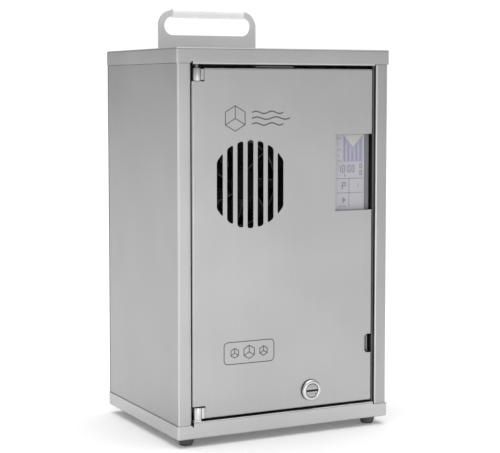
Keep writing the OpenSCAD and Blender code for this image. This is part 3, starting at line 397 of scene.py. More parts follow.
def grey_plastic(name):
    return moulded(name, looks().grey, 0.45, 1800.0, 0.00002)


def white_plastic(name):
    return moulded(name, looks().white, 0.34, 1600.0, 0.00001)


def screen(name):
    """Front film over a pale, softly lit display, a little uneven in tone."""
    paint = Finish(name, Metallic=0.0, Coat_Weight=0.25)
    cloud = paint.noise(paint.place(), 24.0, 2.0)
    cells = paint.noise(paint.place(), 2200.0, 1.0)
    tone = paint.swing_of(cloud * 0.7 + cells * 0.3, looks().screen, 0.93, 1.08)
    return paint.feed(Base_Color=tone, Roughness=cloud * 0.08 + 0.24)


def ink(name, tint, roughness=0.42):
    """Thin printed or etched film, slightly uneven."""
    paint = Finish(name, Metallic=0.0)
    wear = paint.noise(paint.place(), 700.0, 3.0)
    tone = paint.swing_of(wear, tint, 0.85, 1.15)
    return paint.feed(Base_Color=tone, Roughness=wear * 0.1 + (roughness - 0.05))


def screen_field(name):
    return ink(name, looks().screen_field, 0.3)


def screen_ink(name):
    return ink(name, looks().screen_ink, 0.3)


def screen_pale(name):
    return ink(name, shade_of(looks().screen, 1.05), 0.3)


def screen_glow(name):
    return ink(name, (0.49, 0.49, 0.475), 0.3)


def screen_shade(name):
    return ink(name, shade_of(looks().screen_field, 0.72), 0.3)


def etched(name):
    paint = Finish(name, Metallic=0.7)
    wear = paint.noise(paint.place(), 900.0, 3.0)
    tone = paint.swing_of(wear, looks().etch, 0.75, 1.3)
    return paint.feed(Base_Color=tone, Roughness=wear * 0.15 + 0.48)


def circuit_board(name):
    """Green lacquer with copper lanes under it."""
    paint = Finish(name, Metallic=0.0, Coat_Weight=0.3)
    lanes = paint.node(
        "TexBrick", {"offset": 0.37, "squash": 1.6}, output=1, Vector=paint.place(), Scale=90.0
    )
    cloud = paint.noise(paint.place(), 160.0, 2.0)
    tone = paint.swing_of(lanes * 0.5 + cloud * 0.3, looks().board, 1.0, 2.2)
    return paint.feed(Base_Color=tone, Roughness=cloud * 0.1 + 0.3)


def filter_mat(name):
    """Loose fibres, drawn as crossed stretched noise."""
    paint = Finish(name, Metallic=0.0, Sheen_Weight=0.3)
    level = paint.noise(paint.place(drawn_out(0, 0.15)), 900.0, 4.0)
    upright = paint.noise(paint.place(drawn_out(2, 0.15)), 900.0, 4.0)
    fibres = level * 0.5 + upright * 0.5
    tone = paint.swing_of(fibres, looks().mat, 0.6, 1.2)
    return paint.feed(
        Base_Color=tone, Roughness=fibres * 0.1 + 0.85, Normal=paint.bump(fibres, 0.0006, 0.8)
    )


MAKERS = (
    case_steel_level, case_steel_upright, case_steel_top, case_steel_bend, tray_steel,
    handle_steel, pillar_steel, pillar_steel_right, bend_steel, lip_steel, door_steel, zinc,
    chrome, lock_face, recess, motor_steel, rubber, black_plastic, fan_plastic, hub_plastic,
    seal, grey_plastic, white_plastic, screen, screen_field, screen_ink, screen_pale,
    screen_glow, screen_shade, etched, circuit_board, filter_mat,
)
FINISHES = {maker.__name__: maker for maker in MAKERS}


# ---------------------------------------------------------------- modelling helpers


def only(obj):
    """Selects one object and makes it active."""
    bpy.ops.object.select_all(action="DESELECT")
    bpy.context.view_layer.objects.active = obj
    obj.select_set(True)
    return obj


def settle(name):
    """Names the new primitive and puts its place into its mesh."""
    obj = only(bpy.context.object)
    obj.name = name
    obj.data.name = name
    bpy.ops.object.transform_apply(location=True, rotation=True, scale=True)
    return obj


def unit(axis):
    """The direction of an axis, given as 0, 1 or 2."""
    return Vector([1.0 if i == axis else 0.0 for i in range(3)])


def near(a, b, slack=TINY):
    return abs(a - b) < slack


@contextmanager
def editing(obj):
    """Edit mode on one piece, with nothing picked."""
    only(obj)
    bpy.ops.object.mode_set(mode="EDIT")
    bpy.ops.mesh.select_all(action="DESELECT")
    yield obj
    bpy.ops.object.mode_set(mode="OBJECT")


def pick(obj, kind, test):
    """Picks the vertices, edges or faces whose middle passes the test."""
    bpy.ops.mesh.select_mode(type=kind)
    bpy.ops.mesh.select_all(action="DESELECT")
    mesh = bmesh.from_edit_mesh(obj.data)
    parts = {"VERT": mesh.verts, "EDGE": mesh.edges, "FACE": mesh.faces}[kind]
    for part in parts:
        if test(middle_of(part, kind), part):
            part.select_set(True)
    mesh.select_flush_mode()
    bmesh.update_edit_mesh(obj.data)


def pick_all():
    """Picks the whole of the piece that is being edited."""
    bpy.ops.mesh.select_all(action="SELECT")


def middle_of(part, kind):
    if kind == "VERT":
        return part.co
    if kind == "FACE":
        return part.calc_center_median()
    return (part.verts[0].co + part.verts[1].co) / 2


def runs_along(edge, axis):
    """True if an edge is parallel to an axis, given as 0, 1 or 2."""
    way = (edge.verts[1].co - edge.verts[0].co).normalized()
    return abs(way[axis]) > 0.999


def edges_at(along, x=None, y=None, z=None):
    """A test for edges parallel to an axis, whose middles are at the places given."""

    def test(middle, edge):
        places = zip(middle, (x, y, z))
        return runs_along(edge, along) and all(p is None or near(m, p) for m, p in places)

    return test


def pull_edges(obj, test, move):
    """Extrudes the picked edges by a vector."""
    pick(obj, "EDGE", test)
    bpy.ops.mesh.extrude_edges_indiv()
    bpy.ops.transform.translate(value=move)


def round_edges(obj, test, radius, steps=5):
    """Rounds the picked edges."""
    pick(obj, "EDGE", test)
    bpy.ops.mesh.bevel(offset=radius, segments=steps, affect="EDGES", clamp_overlap=False)


def slice_at(point, normal):
    """Adds a line of edges where a plane crosses the piece that is being edited."""
    pick_all()
    bpy.ops.mesh.bisect(plane_co=point, plane_no=normal)


def merge_doubles(distance=MERGE):
    """Merges the doubles of the piece that is being edited."""
    pick_all()
    bpy.ops.mesh.remove_doubles(threshold=distance)


def flatten(degrees):
    """Dissolves the edges between flat faces of the piece that is being edited."""
    pick_all()
    bpy.ops.mesh.dissolve_limited(angle_limit=math.radians(degrees))


def turn_out():
    """Turns the faces of the piece that is being edited outwards."""
    pick_all()
    bpy.ops.mesh.normals_make_consistent(inside=False)


def raise_film(rise):
    """Gives the flat shape that is being edited its thickness, towards -Y."""
    pick_all()
    bpy.ops.mesh.extrude_region_move(TRANSFORM_OT_translate={"value": (0, -rise, 0)})
    turn_out()


def hollow_out(width):
    """Leaves only a border of the flat face that is being edited."""
    bpy.ops.mesh.select_mode(type="FACE")
    pick_all()
    bpy.ops.mesh.inset(thickness=width)
    bpy.ops.mesh.delete(type="FACE")


AXIS_TURN = {0: (0, RIGHT_ANGLE, 0), 1: (RIGHT_ANGLE, 0, 0), 2: (0, 0, 0)}


def wall(name, low, high, flat):
    """A flat wall between two corners, with no thickness along the axis called flat."""
    low = Vector(low)
    high = Vector(high)
    size = high - low
    spans = {0: (size.z, size.y, 1), 1: (size.x, size.z, 1), 2: (size.x, size.y, 1)}[flat]
    bpy.ops.mesh.primitive_plane_add(size=1, location=(low + high) / 2, rotation=AXIS_TURN[flat])
    bpy.context.object.scale = spans
    return settle(name)


def block(name, low, high):
    """A box between two corners."""
    low = Vector(low)
    high = Vector(high)
    bpy.ops.mesh.primitive_cube_add(size=1, location=(low + high) / 2)
    bpy.context.object.scale = high - low
    return settle(name)


def rod(name, middle, radius, long, axis, sides=64):
    """A cylinder about a middle point, along an axis."""
    bpy.ops.mesh.primitive_cylinder_add(
        vertices=sides, radius=radius, depth=long, location=middle, rotation=AXIS_TURN[axis]
    )
    return settle(name)


def apply_modifier(obj, kind, **settings):
    """Adds a modifier, sets it up and applies it."""
    only(obj)
    bpy.ops.object.modifier_add(type=kind)
    modifier = obj.modifiers[-1]
    for key, value in settings.items():
        setattr(modifier, key, value)
    bpy.ops.object.modifier_apply(modifier=modifier.name)


def thicken(obj, thickness):
    """Gives a folded wall its thickness, inwards."""
    with editing(obj):
        turn_out()
    apply_modifier(
        obj,
        "SOLIDIFY",
        thickness=thickness,
        offset=-1.0,
        use_even_offset=True,
        use_quality_normals=True,
    )


def unite(name, pieces):
    """Joins several pieces into one object."""
    only(pieces[0])
    for piece in pieces[1:]:
        piece.select_set(True)
    if len(pieces) > 1:
        bpy.ops.object.join()
    joined = bpy.context.object
    joined.name = name
    joined.data.name = name
    return joined


def carve(obj, cutters, operation="DIFFERENCE"):
    """Cuts separate closed pieces out of an object and removes them."""
    cutter = unite("cutter", cutters)
    apply_modifier(obj, "BOOLEAN", object=cutter, operation=operation, solver="EXACT")
    bpy.data.objects.remove(cutter, do_unlink=True)


def break_edges(obj, width, steps=2, angle=35.0):
    """Breaks the sharp edges and evens the shading."""
    apply_modifier(
        obj,
        "BEVEL",
        width=width,
        segments=steps,
        limit_method="ANGLE",
        angle_limit=math.radians(angle),
        use_clamp_overlap=True,
        miter_outer="MITER_SHARP",
    )
    only(obj)
    bpy.ops.object.shade_smooth()
    apply_modifier(obj, "WEIGHTED_NORMAL", weight=100, keep_sharp=False)


def rounded(radius, soft, at=0.0, steps=5):
    """Profile points of a quarter-round corner, from the face at one end out to the radius."""
    angles = [i * RIGHT_ANGLE / steps for i in range(steps + 1)]
    return [
        (radius - soft + soft * math.sin(a), at + soft - soft * math.cos(a)) for a in angles
    ]


def capsule(radius, half, soft, steps=5):
    """Profile points of a round bar about its middle, with both ends softened."""
    lower = [(0.0, -half)] + rounded(radius, soft, -half, steps)
    return lower + [(r, -far) for r, far in reversed(lower)]


def turned(name, profile, centre, axis, steps=64):
    """Turns a profile of (radius, along) points about an axis, as on a lathe."""
    centre = Vector(centre)
    along = unit(axis)
    out = unit((axis + 1) % 3)
    points = [centre + out * radius + along * far for radius, far in profile]
    bpy.ops.mesh.primitive_plane_add(size=1, location=(0, 0, 0))
    obj = settle(name)
    with editing(obj):
        pick_all()
        bpy.ops.mesh.merge(type="CENTER")
        pick_all()
        bpy.ops.transform.translate(value=points[0])
        for start, end in zip(points, points[1:]):
            bpy.ops.mesh.extrude_vertices_move(TRANSFORM_OT_translate={"value": end - start})
        pick_all()
        bpy.ops.mesh.spin(steps=steps, angle=2 * HALF_TURN, center=centre, axis=along)
        merge_doubles()
        turn_out()
    return obj


def copy_of(obj, name):
    """A copy with its own mesh."""
    only(obj)
    bpy.ops.object.duplicate(linked=False)
    twin = bpy.context.object
    twin.name = name
    twin.data.name = name
    return twin


def shift(obj, move):
    """Moves a piece by moving its vertices."""
    with editing(obj):
        pick_all()
        bpy.ops.transform.translate(value=move)


def swing(obj, angle, axis, about):
    """Turns a piece about an axis through a point, by moving its vertices."""
    with editing(obj):
        pick_all()
        bpy.ops.transform.rotate(value=angle, orient_axis=axis, center_override=about)


def smooth(obj, angle=32.0):
    only(obj)
    bpy.ops.object.shade_smooth_by_angle(angle=math.radians(angle))


def hand_over(obj, finish, node=None, body=None):
    """Gives a finished piece its material and its body, and hides the CAD node it stands for."""
    obj.data.materials.clear()
    obj.data.materials.append(finish_named(finish))
    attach(obj, body or body_named(node))
    if node:
        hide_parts(node)
    return obj


def second_finish(obj, finish, test):
    """Gives the faces that pass the test another finish. The test has a face's middle and normal."""
    obj.data.materials.append(finish_named(finish))
    number = len(obj.data.materials) - 1
    for face in obj.data.polygons:
        if test(face.center, face.normal):
            face.material_index = number


def paint_bend_highlights(obj):
    """Gives the rounded upright corners of a folded piece a lighter steel: a painted highlight along the
    bends.
    """
    second_finish(
        obj, "bend_steel", lambda m, n: abs(n.z) < 0.3 and abs(n.x) > 0.3 and abs(n.y) > 0.3
    )


def body_named(node):
    """The body that a CAD node rides on."""
    for body, nodes in frame["record"]["behaviour"]["bodies"].items():
        if node in nodes:
            return body
    raise ValueError(node)


def centre_of(node):
    """The middle of a CAD node's box."""
    low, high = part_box(node)
    return (low + high) / 2


def finished(node, finish, width):
    """A CAD node copied, merged, dressed with broken edges and given its finish."""
    source = frame["nodes"][node]
    obj = source.copy()
    obj.data = source.data.copy()
    obj.parent = None
    bpy.context.scene.collection.objects.link(obj)
    obj.hide_render = False
    obj.name = node + "_finished"
    obj.data.name = obj.name
    with editing(obj):
        merge_doubles()
        flatten(0.4)
    break_edges(obj, width)
    return hand_over(obj, finish, node)


# ---------------------------------------------------------------- case


def side_panel(name, node, step):
    """A side panel folded round its front and its rear. The lock side's lip steps inwards."""
    low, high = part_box(node)
    size = sizes()
    left = node.startswith("left")
    outer, inner, way = (low.x, high.x, 1.0) if left else (high.x, low.x, -1.0)
    doorway = inner - way * step
    run = size.lip_step_in if step else size.pillar_lip
    folds = [
        ((None, low.y), (doorway - outer, 0, 0)),
        ((doorway, low.y), (0, run, 0)),
        ((outer, high.y), (way * size.rear_flange, 0, 0)),
    ]
    if step:
        folds[2:2] = [
            ((None, low.y + run), (way * step, 0, 0)),
            ((inner, low.y + run), (0, size.pillar_lip - run, 0)),
        ]
    obj = wall(name, (outer, low.y, low.z), (outer, high.y, high.z), 0)
    with editing(obj):
        for (x, y), move in folds:
            pull_edges(obj, edges_at(2, x, y), move)
        for x, y in ((outer, low.y), (outer, high.y), (doorway, low.y)):
            round_edges(obj, edges_at(2, x, y), size.bend)
    thicken(obj, size.sheet)
    break_edges(obj, size.edge)
    hand_over(obj, "case_steel_upright", node)
    # The pillar's front takes its own copy of the steel: lighter than the side on the left pillar as
    # painted light, a little darker on the right pillar as painted shade.
    front = "pillar_steel" if left else "pillar_steel_right"
    second_finish(obj, front, lambda m, n: n.y < -0.9 and m.y < low.y + TINY)
    paint_bend_highlights(obj)
    # The lock-side lip's faces take the dark steel: painted shade in the gap beside the door.
    if step:
        reach = step + 2 * size.sheet
        depths = (low.y + size.bend / 2, low.y + size.pillar_lip + size.sheet)
        second_finish(
            obj,
            "lip_steel",
            lambda m, n: depths[0] < m.y < depths[1] and abs(m.x - inner) < reach,
        )
    return obj


class SALTCABINET_OT_side_panels(bpy.types.Operator):
    """Fold the two side panels round their pillars and rear flanges"""

    bl_idname = "salt_cabinet.side_panels"
    bl_label = "Side panels"

    def execute(self, context):
        side_panel("case_side_left", "left_side_panel", 0.0)
        side_panel("case_side_right", "right_side_panel", sizes().lip_step)
        return {"FINISHED"}


def folded_lid(name, node, way):
    """The cap, or with way -1 the tray: a lid with skirts, and a rail folded in at the doorway."""
    size = sizes()
    low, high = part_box(node)
    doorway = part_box("left_side_panel")[1].x
    rail_x = -doorway - size.notch_width
    if way > 0:
        skirt, flat_z, rail_z = size.cap_skirt, high.z, low.z
    else:
        skirt, flat_z, rail_z = size.tray_skirt, low.z, high.z
    front = low.y
    edge_z = flat_z - way * skirt
    notch_z = edge_z + way * size.notch_height
    obj = wall(name, (low.x, front, flat_z), (high.x, high.y, flat_z), 2)
    with editing(obj):
        pull_edges(obj, lambda m, e: True, (0, 0, -way * skirt))
        merge_doubles(TINY)
        for x in (-doorway, doorway, -rail_x, rail_x):
            slice_at((x, 0, 0), unit(0))
        slice_at((0, 0, notch_z), unit(2))
        pick(
            obj,
            "FACE",
            lambda m, f: near(m.y, front)
            and way * (m.z - notch_z) < 0
            and rail_x < -m.x < -doorway,
        )
        bpy.ops.mesh.delete(type="FACE")
        pull_edges(
            obj,
            lambda m, e: near(m.y, front) and near(m.z, edge_z) and abs(m.x) < rail_x,
            (0, 0, rail_z - edge_z),
        )
        pull_edges(obj, edges_at(0, None, front, rail_z), (0, size.rail_depth, 0))
        if way < 0:
            lip = edges_at(0, None, front + size.rail_depth, rail_z)
            pull_edges(obj, lip, (0, 0, -size.sill_lip))
        flatten(0.5)

        def outer_corner(m, e):
            upright = near(abs(m.x), high.x) and runs_along(e, 2)
            at_end = near(m.y, low.y) or near(m.y, high.y)
            return (near(m.z, flat_z) or upright and at_end) and len(e.link_faces) == 2

        round_edges(obj, outer_corner, size.bend)
        round_edges(obj, edges_at(0, None, front, rail_z), size.bend)
    thicken(obj, size.sheet)
    if way > 0:
        spots, axis = [(x, high.y, z) for x, y, z in handle_screw_spots()], 1
    else:
        spots, axis = [(x, y, low.z) for x, y in foot_spots()], 2
    carve(obj, [rod("cut", spot, SCREW_HOLE, 8 * MM, axis) for spot in spots])
    break_edges(obj, size.edge)
    # The tray takes the lighter steel as a painted reflection of the floor.
    hand_over(obj, "case_steel_level" if way > 0 else "tray_steel", node)
    paint_bend_highlights(obj)
    if way > 0:
        bend_z = flat_z - size.bend
        # The cap's upper face takes the lighter steel: painted light from above.
        second_finish(obj, "case_steel_top", lambda m, n: n.z > 0.97)
        # The rounded edges round the cap's top take a darker steel: painted shade against their
        # highlight.
        second_finish(obj, "case_steel_bend", lambda m, n: 0.15 < n.z <= 0.97 and m.z > bend_z)
    return obj


def handle_screw_spots():
    """Middles of the handle's four screws."""
    low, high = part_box("handle_screws")
    radius = 4 * MM
    return [
        (x, (low.y + high.y) / 2, z)
        for x in (low.x + radius, high.x - radius)
        for z in (low.z + radius, high.z - radius)
    ]


FEET = ("foot_front_left", "foot_front_right", "foot_rear_left", "foot_rear_right")


def foot_spots():
    """Middles of the four feet."""
    return [(centre_of(foot).x, centre_of(foot).y) for foot in FEET]


class SALTCABINET_OT_cap_and_tray(bpy.types.Operator):
    """Fold the top cap and the bottom tray, with the rails above and below the doorway"""

    bl_idname = "salt_cabinet.cap_and_tray"
    bl_label = "Cap and tray"

    def execute(self, context):
        folded_lid("case_cap", "top_cap", 1.0)
        folded_lid("case_tray", "bottom_tray", -1.0)
        self.skirt_shadow_lines()
        return {"FINISHED"}

    def skirt_shadow_lines(self):
        """Thin dark strips in the corner under the cap's skirt: a painted shadow line below the skirt."""
        size = sizes()
        thin = 0.12 * MM
        tall = 0.7 * MM
        left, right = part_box("left_side_panel"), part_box("right_side_panel")
        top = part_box("top_cap")[1].z - size.cap_skirt
        front, rear = left[0].y, left[1].y
        shadow_strips = []
        for start, end in ((left[0].x - thin, left[0].x), (right[1].x, right[1].x + thin)):
            low = (start, front + size.bend, top - tall)
            high = (end, rear - size.bend, top)
            shadow_strips.append(block("shadow_strip", low, high))
        for start, end in ((left[0].x, left[1].x), (right[0].x, right[1].x)):
            low = (start + size.bend, front - thin, top - tall)
            high = (end - size.bend, front, top)
            shadow_strips.append(block("shadow_strip", low, high))
        skirt_shadow_lines = unite("cap_skirt_shadow_strips", shadow_strips)
        break_edges(skirt_shadow_lines, 0.04 * MM, 1)
        hand_over(skirt_shadow_lines, "seal", body="cabinet")


class SALTCABINET_OT_rear(bpy.types.Operator):
    """Dress the rear panel, its screws, the filter and the mains inlet"""

    bl_idname = "salt_cabinet.rear"
    bl_label = "Rear panel"

    plain = (
        ("rear_panel", "case_steel_upright", 0.2),
        ("rear_panel_screws", "zinc", 0.25),
        ("filter_frame", "black_plastic", 0.4),
        ("intake_filter", "filter_mat", 0.8),
        ("mains_inlet", "black_plastic", 0.35),
        ("fuse_drawer", "black_plastic", 0.3),
        ("switch_rocker", "fan_plastic", 0.3),
    )

    def execute(self, context):
        for node, finish, width in self.plain:
            finished(node, finish, width * MM)
        self.switch_marks()
        return {"FINISHED"}

    def switch_marks(self):
        """The plain line and ring that mark on and off beside the rocker."""
        low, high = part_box("switch_rocker")
        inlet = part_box("mains_inlet")[1]
        x = (low.x + high.x) / 2
        thin = 0.05 * MM
        half = 0.3 * MM
        line = block(
            "switch_mark_on",
            (x - half, inlet.y, low.z - 4.6 * MM),
            (x + half, inlet.y + thin, low.z - 2.6 * MM),
        )
        break_edges(line, 0.01 * MM, 1)
        hand_over(line, "white_plastic", body="cabinet")
        outer, inner = 1.3 * MM, 0.8 * MM
        profile = [(outer, 0), (outer, thin), (inner, thin), (inner, 0), (outer, 0)]
        ring = turned("switch_mark_off", profile, (x, inlet.y, high.z + 3.4 * MM), 1, 32)
        smooth(ring)
        hand_over(ring, "white_plastic", body="cabinet")


class SALTCABINET_OT_handle(bpy.types.Operator):
    """Make the carry handle's plate, its grip and its screws"""

    bl_idname = "salt_cabinet.handle"
    bl_label = "Handle"

    corner = 22 * MM
    ring = 8.8 * MM
    opening = 26.7 * MM
    sink = 4.6 * MM

    def execute(self, context):
        self.plate()
        self.grip()
        finished("handle_screws", "zinc", 0.15 * MM)
        finished("handle_nuts", "zinc", 0.2 * MM)
        return {"FINISHED"}

    def plate(self):
        """The upright plate with round shoulders and a hand opening."""
        low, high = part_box("handle_plate")
        plate = block("handle_plate_piece", low, high)
        with editing(plate):
            round_edges(plate, edges_at(1, z=high.z), self.corner, 16)
        half = self.opening / 2
        middle = high.z - self.ring - half
        reach = high.x - self.ring - half
        y = (low.y + high.y) / 2
        deep = 4 * (high.y - low.y)
        for x in (-reach, reach):
            carve(plate, [rod("cut", (x, y, middle), half, 2 * deep, 1)])
        hole = block(
            "cut", (-reach, low.y - deep, middle - half), (reach, high.y + deep, middle + half)
        )
        carve(plate, [hole])
        spots = handle_screw_spots()
        carve(plate, [rod("cut", (x, y, z), SCREW_HOLE, deep, 1, 32) for x, _, z in spots])
        cones = []
        for x, _, z in spots:
            bpy.ops.mesh.primitive_cone_add(
                vertices=48,
                radius1=self.sink,
                radius2=SCREW_HOLE,
                depth=self.sink - SCREW_HOLE,
                location=(x, high.y - 1.0 * MM, z),
                rotation=AXIS_TURN[1],
            )
            cones.append(settle("cut"))
        carve(plate, cones)
        break_edges(plate, 0.45 * MM, 3)
        hand_over(plate, "handle_steel", "handle_plate")
        # The plate's rear face takes the darker case steel as painted shade, so front and rear are lit
        # and shaded copies of one plate.
        second_finish(plate, "case_steel_level", lambda m, n: n.y > 0.7)

    def grip(self):
        """The white tube round the upper bar, with soft ends and a slot for the plate."""
        low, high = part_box("handle_grip")
        radius = (high.z - low.z) / 2
        long = high.x - low.x
        profile = capsule(radius, long / 2, 1.3 * MM)
        grip = turned("grip_tube", profile, (low + high) / 2, 0, 72)
        plate_low, plate_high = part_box("handle_plate")
        top = plate_high.z
        slot = block("cut", (-long, plate_low.y, top - self.ring), (long, plate_high.y, top + MM))
        carve(grip, [slot])
        smooth(grip, 40.0)
        hand_over(grip, "white_plastic", "handle_grip")


class SALTCABINET_OT_feet(bpy.types.Operator):
    """Turn the four tapered rubber feet and fit their screws"""

    bl_idname = "salt_cabinet.feet"
    bl_label = "Feet"

    def execute(self, context):
        low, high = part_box("foot_front_left")
        tall = high.z - low.z
        wide = (high.x - low.x) / 2
        narrow = wide - 3.5 * MM
        recess = 4.5 * MM
        ledge = 5 * MM
        profile = (
            [(recess, ledge), (recess, 0.4 * MM), (recess + 0.4 * MM, 0.0)]
            + rounded(narrow, 1.2 * MM)
            + [(wide - 0.9 * MM, tall - 2.2 * MM), (wide, tall - 1.6 * MM), (wide, tall)]
            + [(SCREW_HOLE, tall), (SCREW_HOLE, ledge), (recess, ledge)]
        )
        spots = foot_spots()
        x, y = spots[0]
        first = turned("foot_front_left_piece", profile, (x, y, low.z), 2, 64)
        smooth(first, 35.0)
        for node, spot in zip(FEET, spots):
            foot = first if node == FEET[0] else copy_of(first, node + "_piece")
            if foot is not first:
                shift(foot, (spot[0] - x, spot[1] - y, 0))
            hand_over(foot, "rubber", node)
        finished("foot_screws", "zinc", 0.2 * MM)
        return {"FINISHED"}


# ---------------------------------------------------------------- door


class SALTCABINET_OT_door(bpy.types.Operator):
    """Fold the door and cut its grille, display window, hinge corners, finger pull and lock hole"""

    bl_idname = "salt_cabinet.door"
    bl_label = "Door"

    def execute(self, context):
        size = sizes()
        low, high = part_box("door_panel")
        front = low.y
        door = wall("door_leaf", (low.x, front, low.z), (high.x, front, high.z), 1)
        with editing(door):
            pull_edges(door, lambda m, e: True, (0, size.door_return, 0))
            merge_doubles(TINY)
            round_edges(door, lambda m, e: len(e.link_faces) == 2, size.bend)
        thicken(door, size.sheet)
        carve(door, self.window_and_corners(low, high))
        carve(door, self.grille(front))
        self.pull_and_lock(door, low, high)
        break_edges(door, size.edge)
        hand_over(door, "door_steel", "door_panel")
        # The door's folded edges, except the faces that point left, take the dark steel: painted shade in
        # the gaps round the door.
        back = front + size.bend
        second_finish(
            door, "lip_steel", lambda m, n: m.y > back and abs(n.y) < 0.3 and n.x > -0.7
        )
        return {"FINISHED"}

    def window_and_corners(self, low, high):
        """Cutters for the display window and the two hinge corners."""
        size = sizes()
        out = 5 * MM
        middle = centre_of("display_housing").z
        half = size.window_height / 2
        left = high.x - size.window_width
        cutters = [
            block(
                "cut", (left, low.y - out, middle - half), (high.x + out, high.y + out, middle + half)
            )
        ]
        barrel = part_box("upper_hinge_barrel")
        tall = barrel[1].z - barrel[0].z + 1.0 * MM
        right = low.x + size.hinge_cut
        for bottom, top in ((low.z - out, low.z + tall), (high.z - tall, high.z + out)):
            cutters.append(
                block("cut", (low.x - out, low.y - out, bottom), (right, high.y + out, top))
            )
        return cutters

    def grille(self, front):
        """Cutters for the slots. Their ends lean so that they follow the circle."""
        size = sizes()
        centre = centre_of("fan_frame")
        half = size.slot_width / 2
        reach = size.grille_radius
        deep = 3 * MM
        cutters = []
        for i in range(-3, 4):
            x = i * size.slot_pitch
            at = centre.x + x
            slot = block(
                "slot",
                (at - half, front - deep, centre.z - reach),
                (at + half, front + deep, centre.z + reach),
            )
            with editing(slot):
                for side in (-1, 1):
                    tip = math.sqrt(reach**2 - (x + side * half) ** 2)
                    for up in (-1, 1):
                        corner = Vector((at + side * half, 0, centre.z + up * reach))
                        pick(
                            slot,
                            "VERT",
                            lambda m, v, c=corner: near(m.x, c.x) and near(m.z, c.z),
                        )
                        bpy.ops.transform.translate(value=(0, 0, up * (tip - reach)))
                round_edges(slot, lambda m, e: runs_along(e, 1), size.slot_round, 4)
            cutters.append(slot)
        return cutters

    def pull_and_lock(self, door, low, high):
        """The D-shaped cut for the finger pull, and the round hole for the lock."""
        pull_low, pull_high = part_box("finger_pull")
        out = 5 * MM
        cut = block(
            "cut",
            (pull_low.x, low.y - out, pull_low.z),
            (high.x + out, high.y + out, pull_high.z),
        )
        with editing(cut):
            round_edges(cut, edges_at(1, pull_low.x), sizes().pull_round, 6)
        carve(door, [cut])
        lock = centre_of("lock_body")
        carve(door, [rod("cut", (lock.x, low.y, lock.z), 10 * MM, 12 * MM, 1)])


class SALTCABINET_OT_finger_pull(bpy.types.Operator):
    """Sink the finger pull's scoop into the door's lock edge"""

    bl_idname = "salt_cabinet.finger_pull"
    bl_label = "Finger pull"

    def execute(self, context):
        low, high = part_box("finger_pull")
        radius = high.x - low.x
        half = (high.z - low.z) / 2
        soft = sizes().pull_round
        skin = 0.9 * MM
        centre = (high.x, low.y, (low.z + high.z) / 2)
        scoop = turned("finger_scoop", capsule(radius, half, soft, 6), centre, 2, 96)
        keep = block("cut", (low.x - MM, low.y, low.z - MM), (high.x, high.y + MM, high.z + MM))
        carve(scoop, [keep], "INTERSECT")
        hollow = capsule(radius - skin, half - skin, soft - skin, 6)
        carve(scoop, [turned("cut", hollow, centre, 2, 96)])
        smooth(scoop, 40.0)
        hand_over(scoop, "case_steel_level", "finger_pull")
        return {"FINISHED"}


def barrel_piece(name, node, finish):
    """A bored hinge barrel with softened ends, and the leaf behind the door's skin."""
    low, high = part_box(node)
    axis = centre_of("hinge_washer")
    radius = axis.x - low.x
    bore = 3.05 * MM
    soft = 0.6 * MM
    lead = 0.3 * MM
    tall = high.z - low.z
    end = [(bore, lead), (bore + lead, 0.0), (radius - soft, 0.0)]
    end += [(radius - 0.2 * soft, 0.2 * soft), (radius, soft)]
    profile = end + [(r, tall - far) for r, far in reversed(end)] + [end[0]]
    barrel = turned(name, profile, (axis.x, axis.y, low.z), 2, 64)
    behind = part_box("door_panel")[0].y + sizes().sheet
    leaf = block(
        "leaf",
        (axis.x + radius - 0.6 * MM, behind, low.z + MM),
        (high.x, behind + 2.5 * MM, high.z - MM),
    )
    break_edges(leaf, 0.3 * MM)
    smooth(barrel, 40.0)
    return hand_over(unite(name, [barrel, leaf]), finish, node)


class SALTCABINET_OT_hinges(bpy.types.Operator):
    """Turn the two hinge barrels and dress the pins and the washer"""

    bl_idname = "salt_cabinet.hinges"
    bl_label = "Hinges"

    def execute(self, context):
        # The upper barrel takes the darker brushed case steel as painted shade; the lower one is chrome.
        barrel_piece("hinge_barrel_upper", "upper_hinge_barrel", "case_steel_level")
        barrel_piece("hinge_barrel_lower", "lower_hinge_barrel", "chrome")
        finished("upper_hinge_pin", "lip_steel", 0.25 * MM)
        finished("lower_hinge_pin", "lip_steel", 0.25 * MM)
        finished("hinge_washer", "white_plastic", 0.2 * MM)
        return {"FINISHED"}


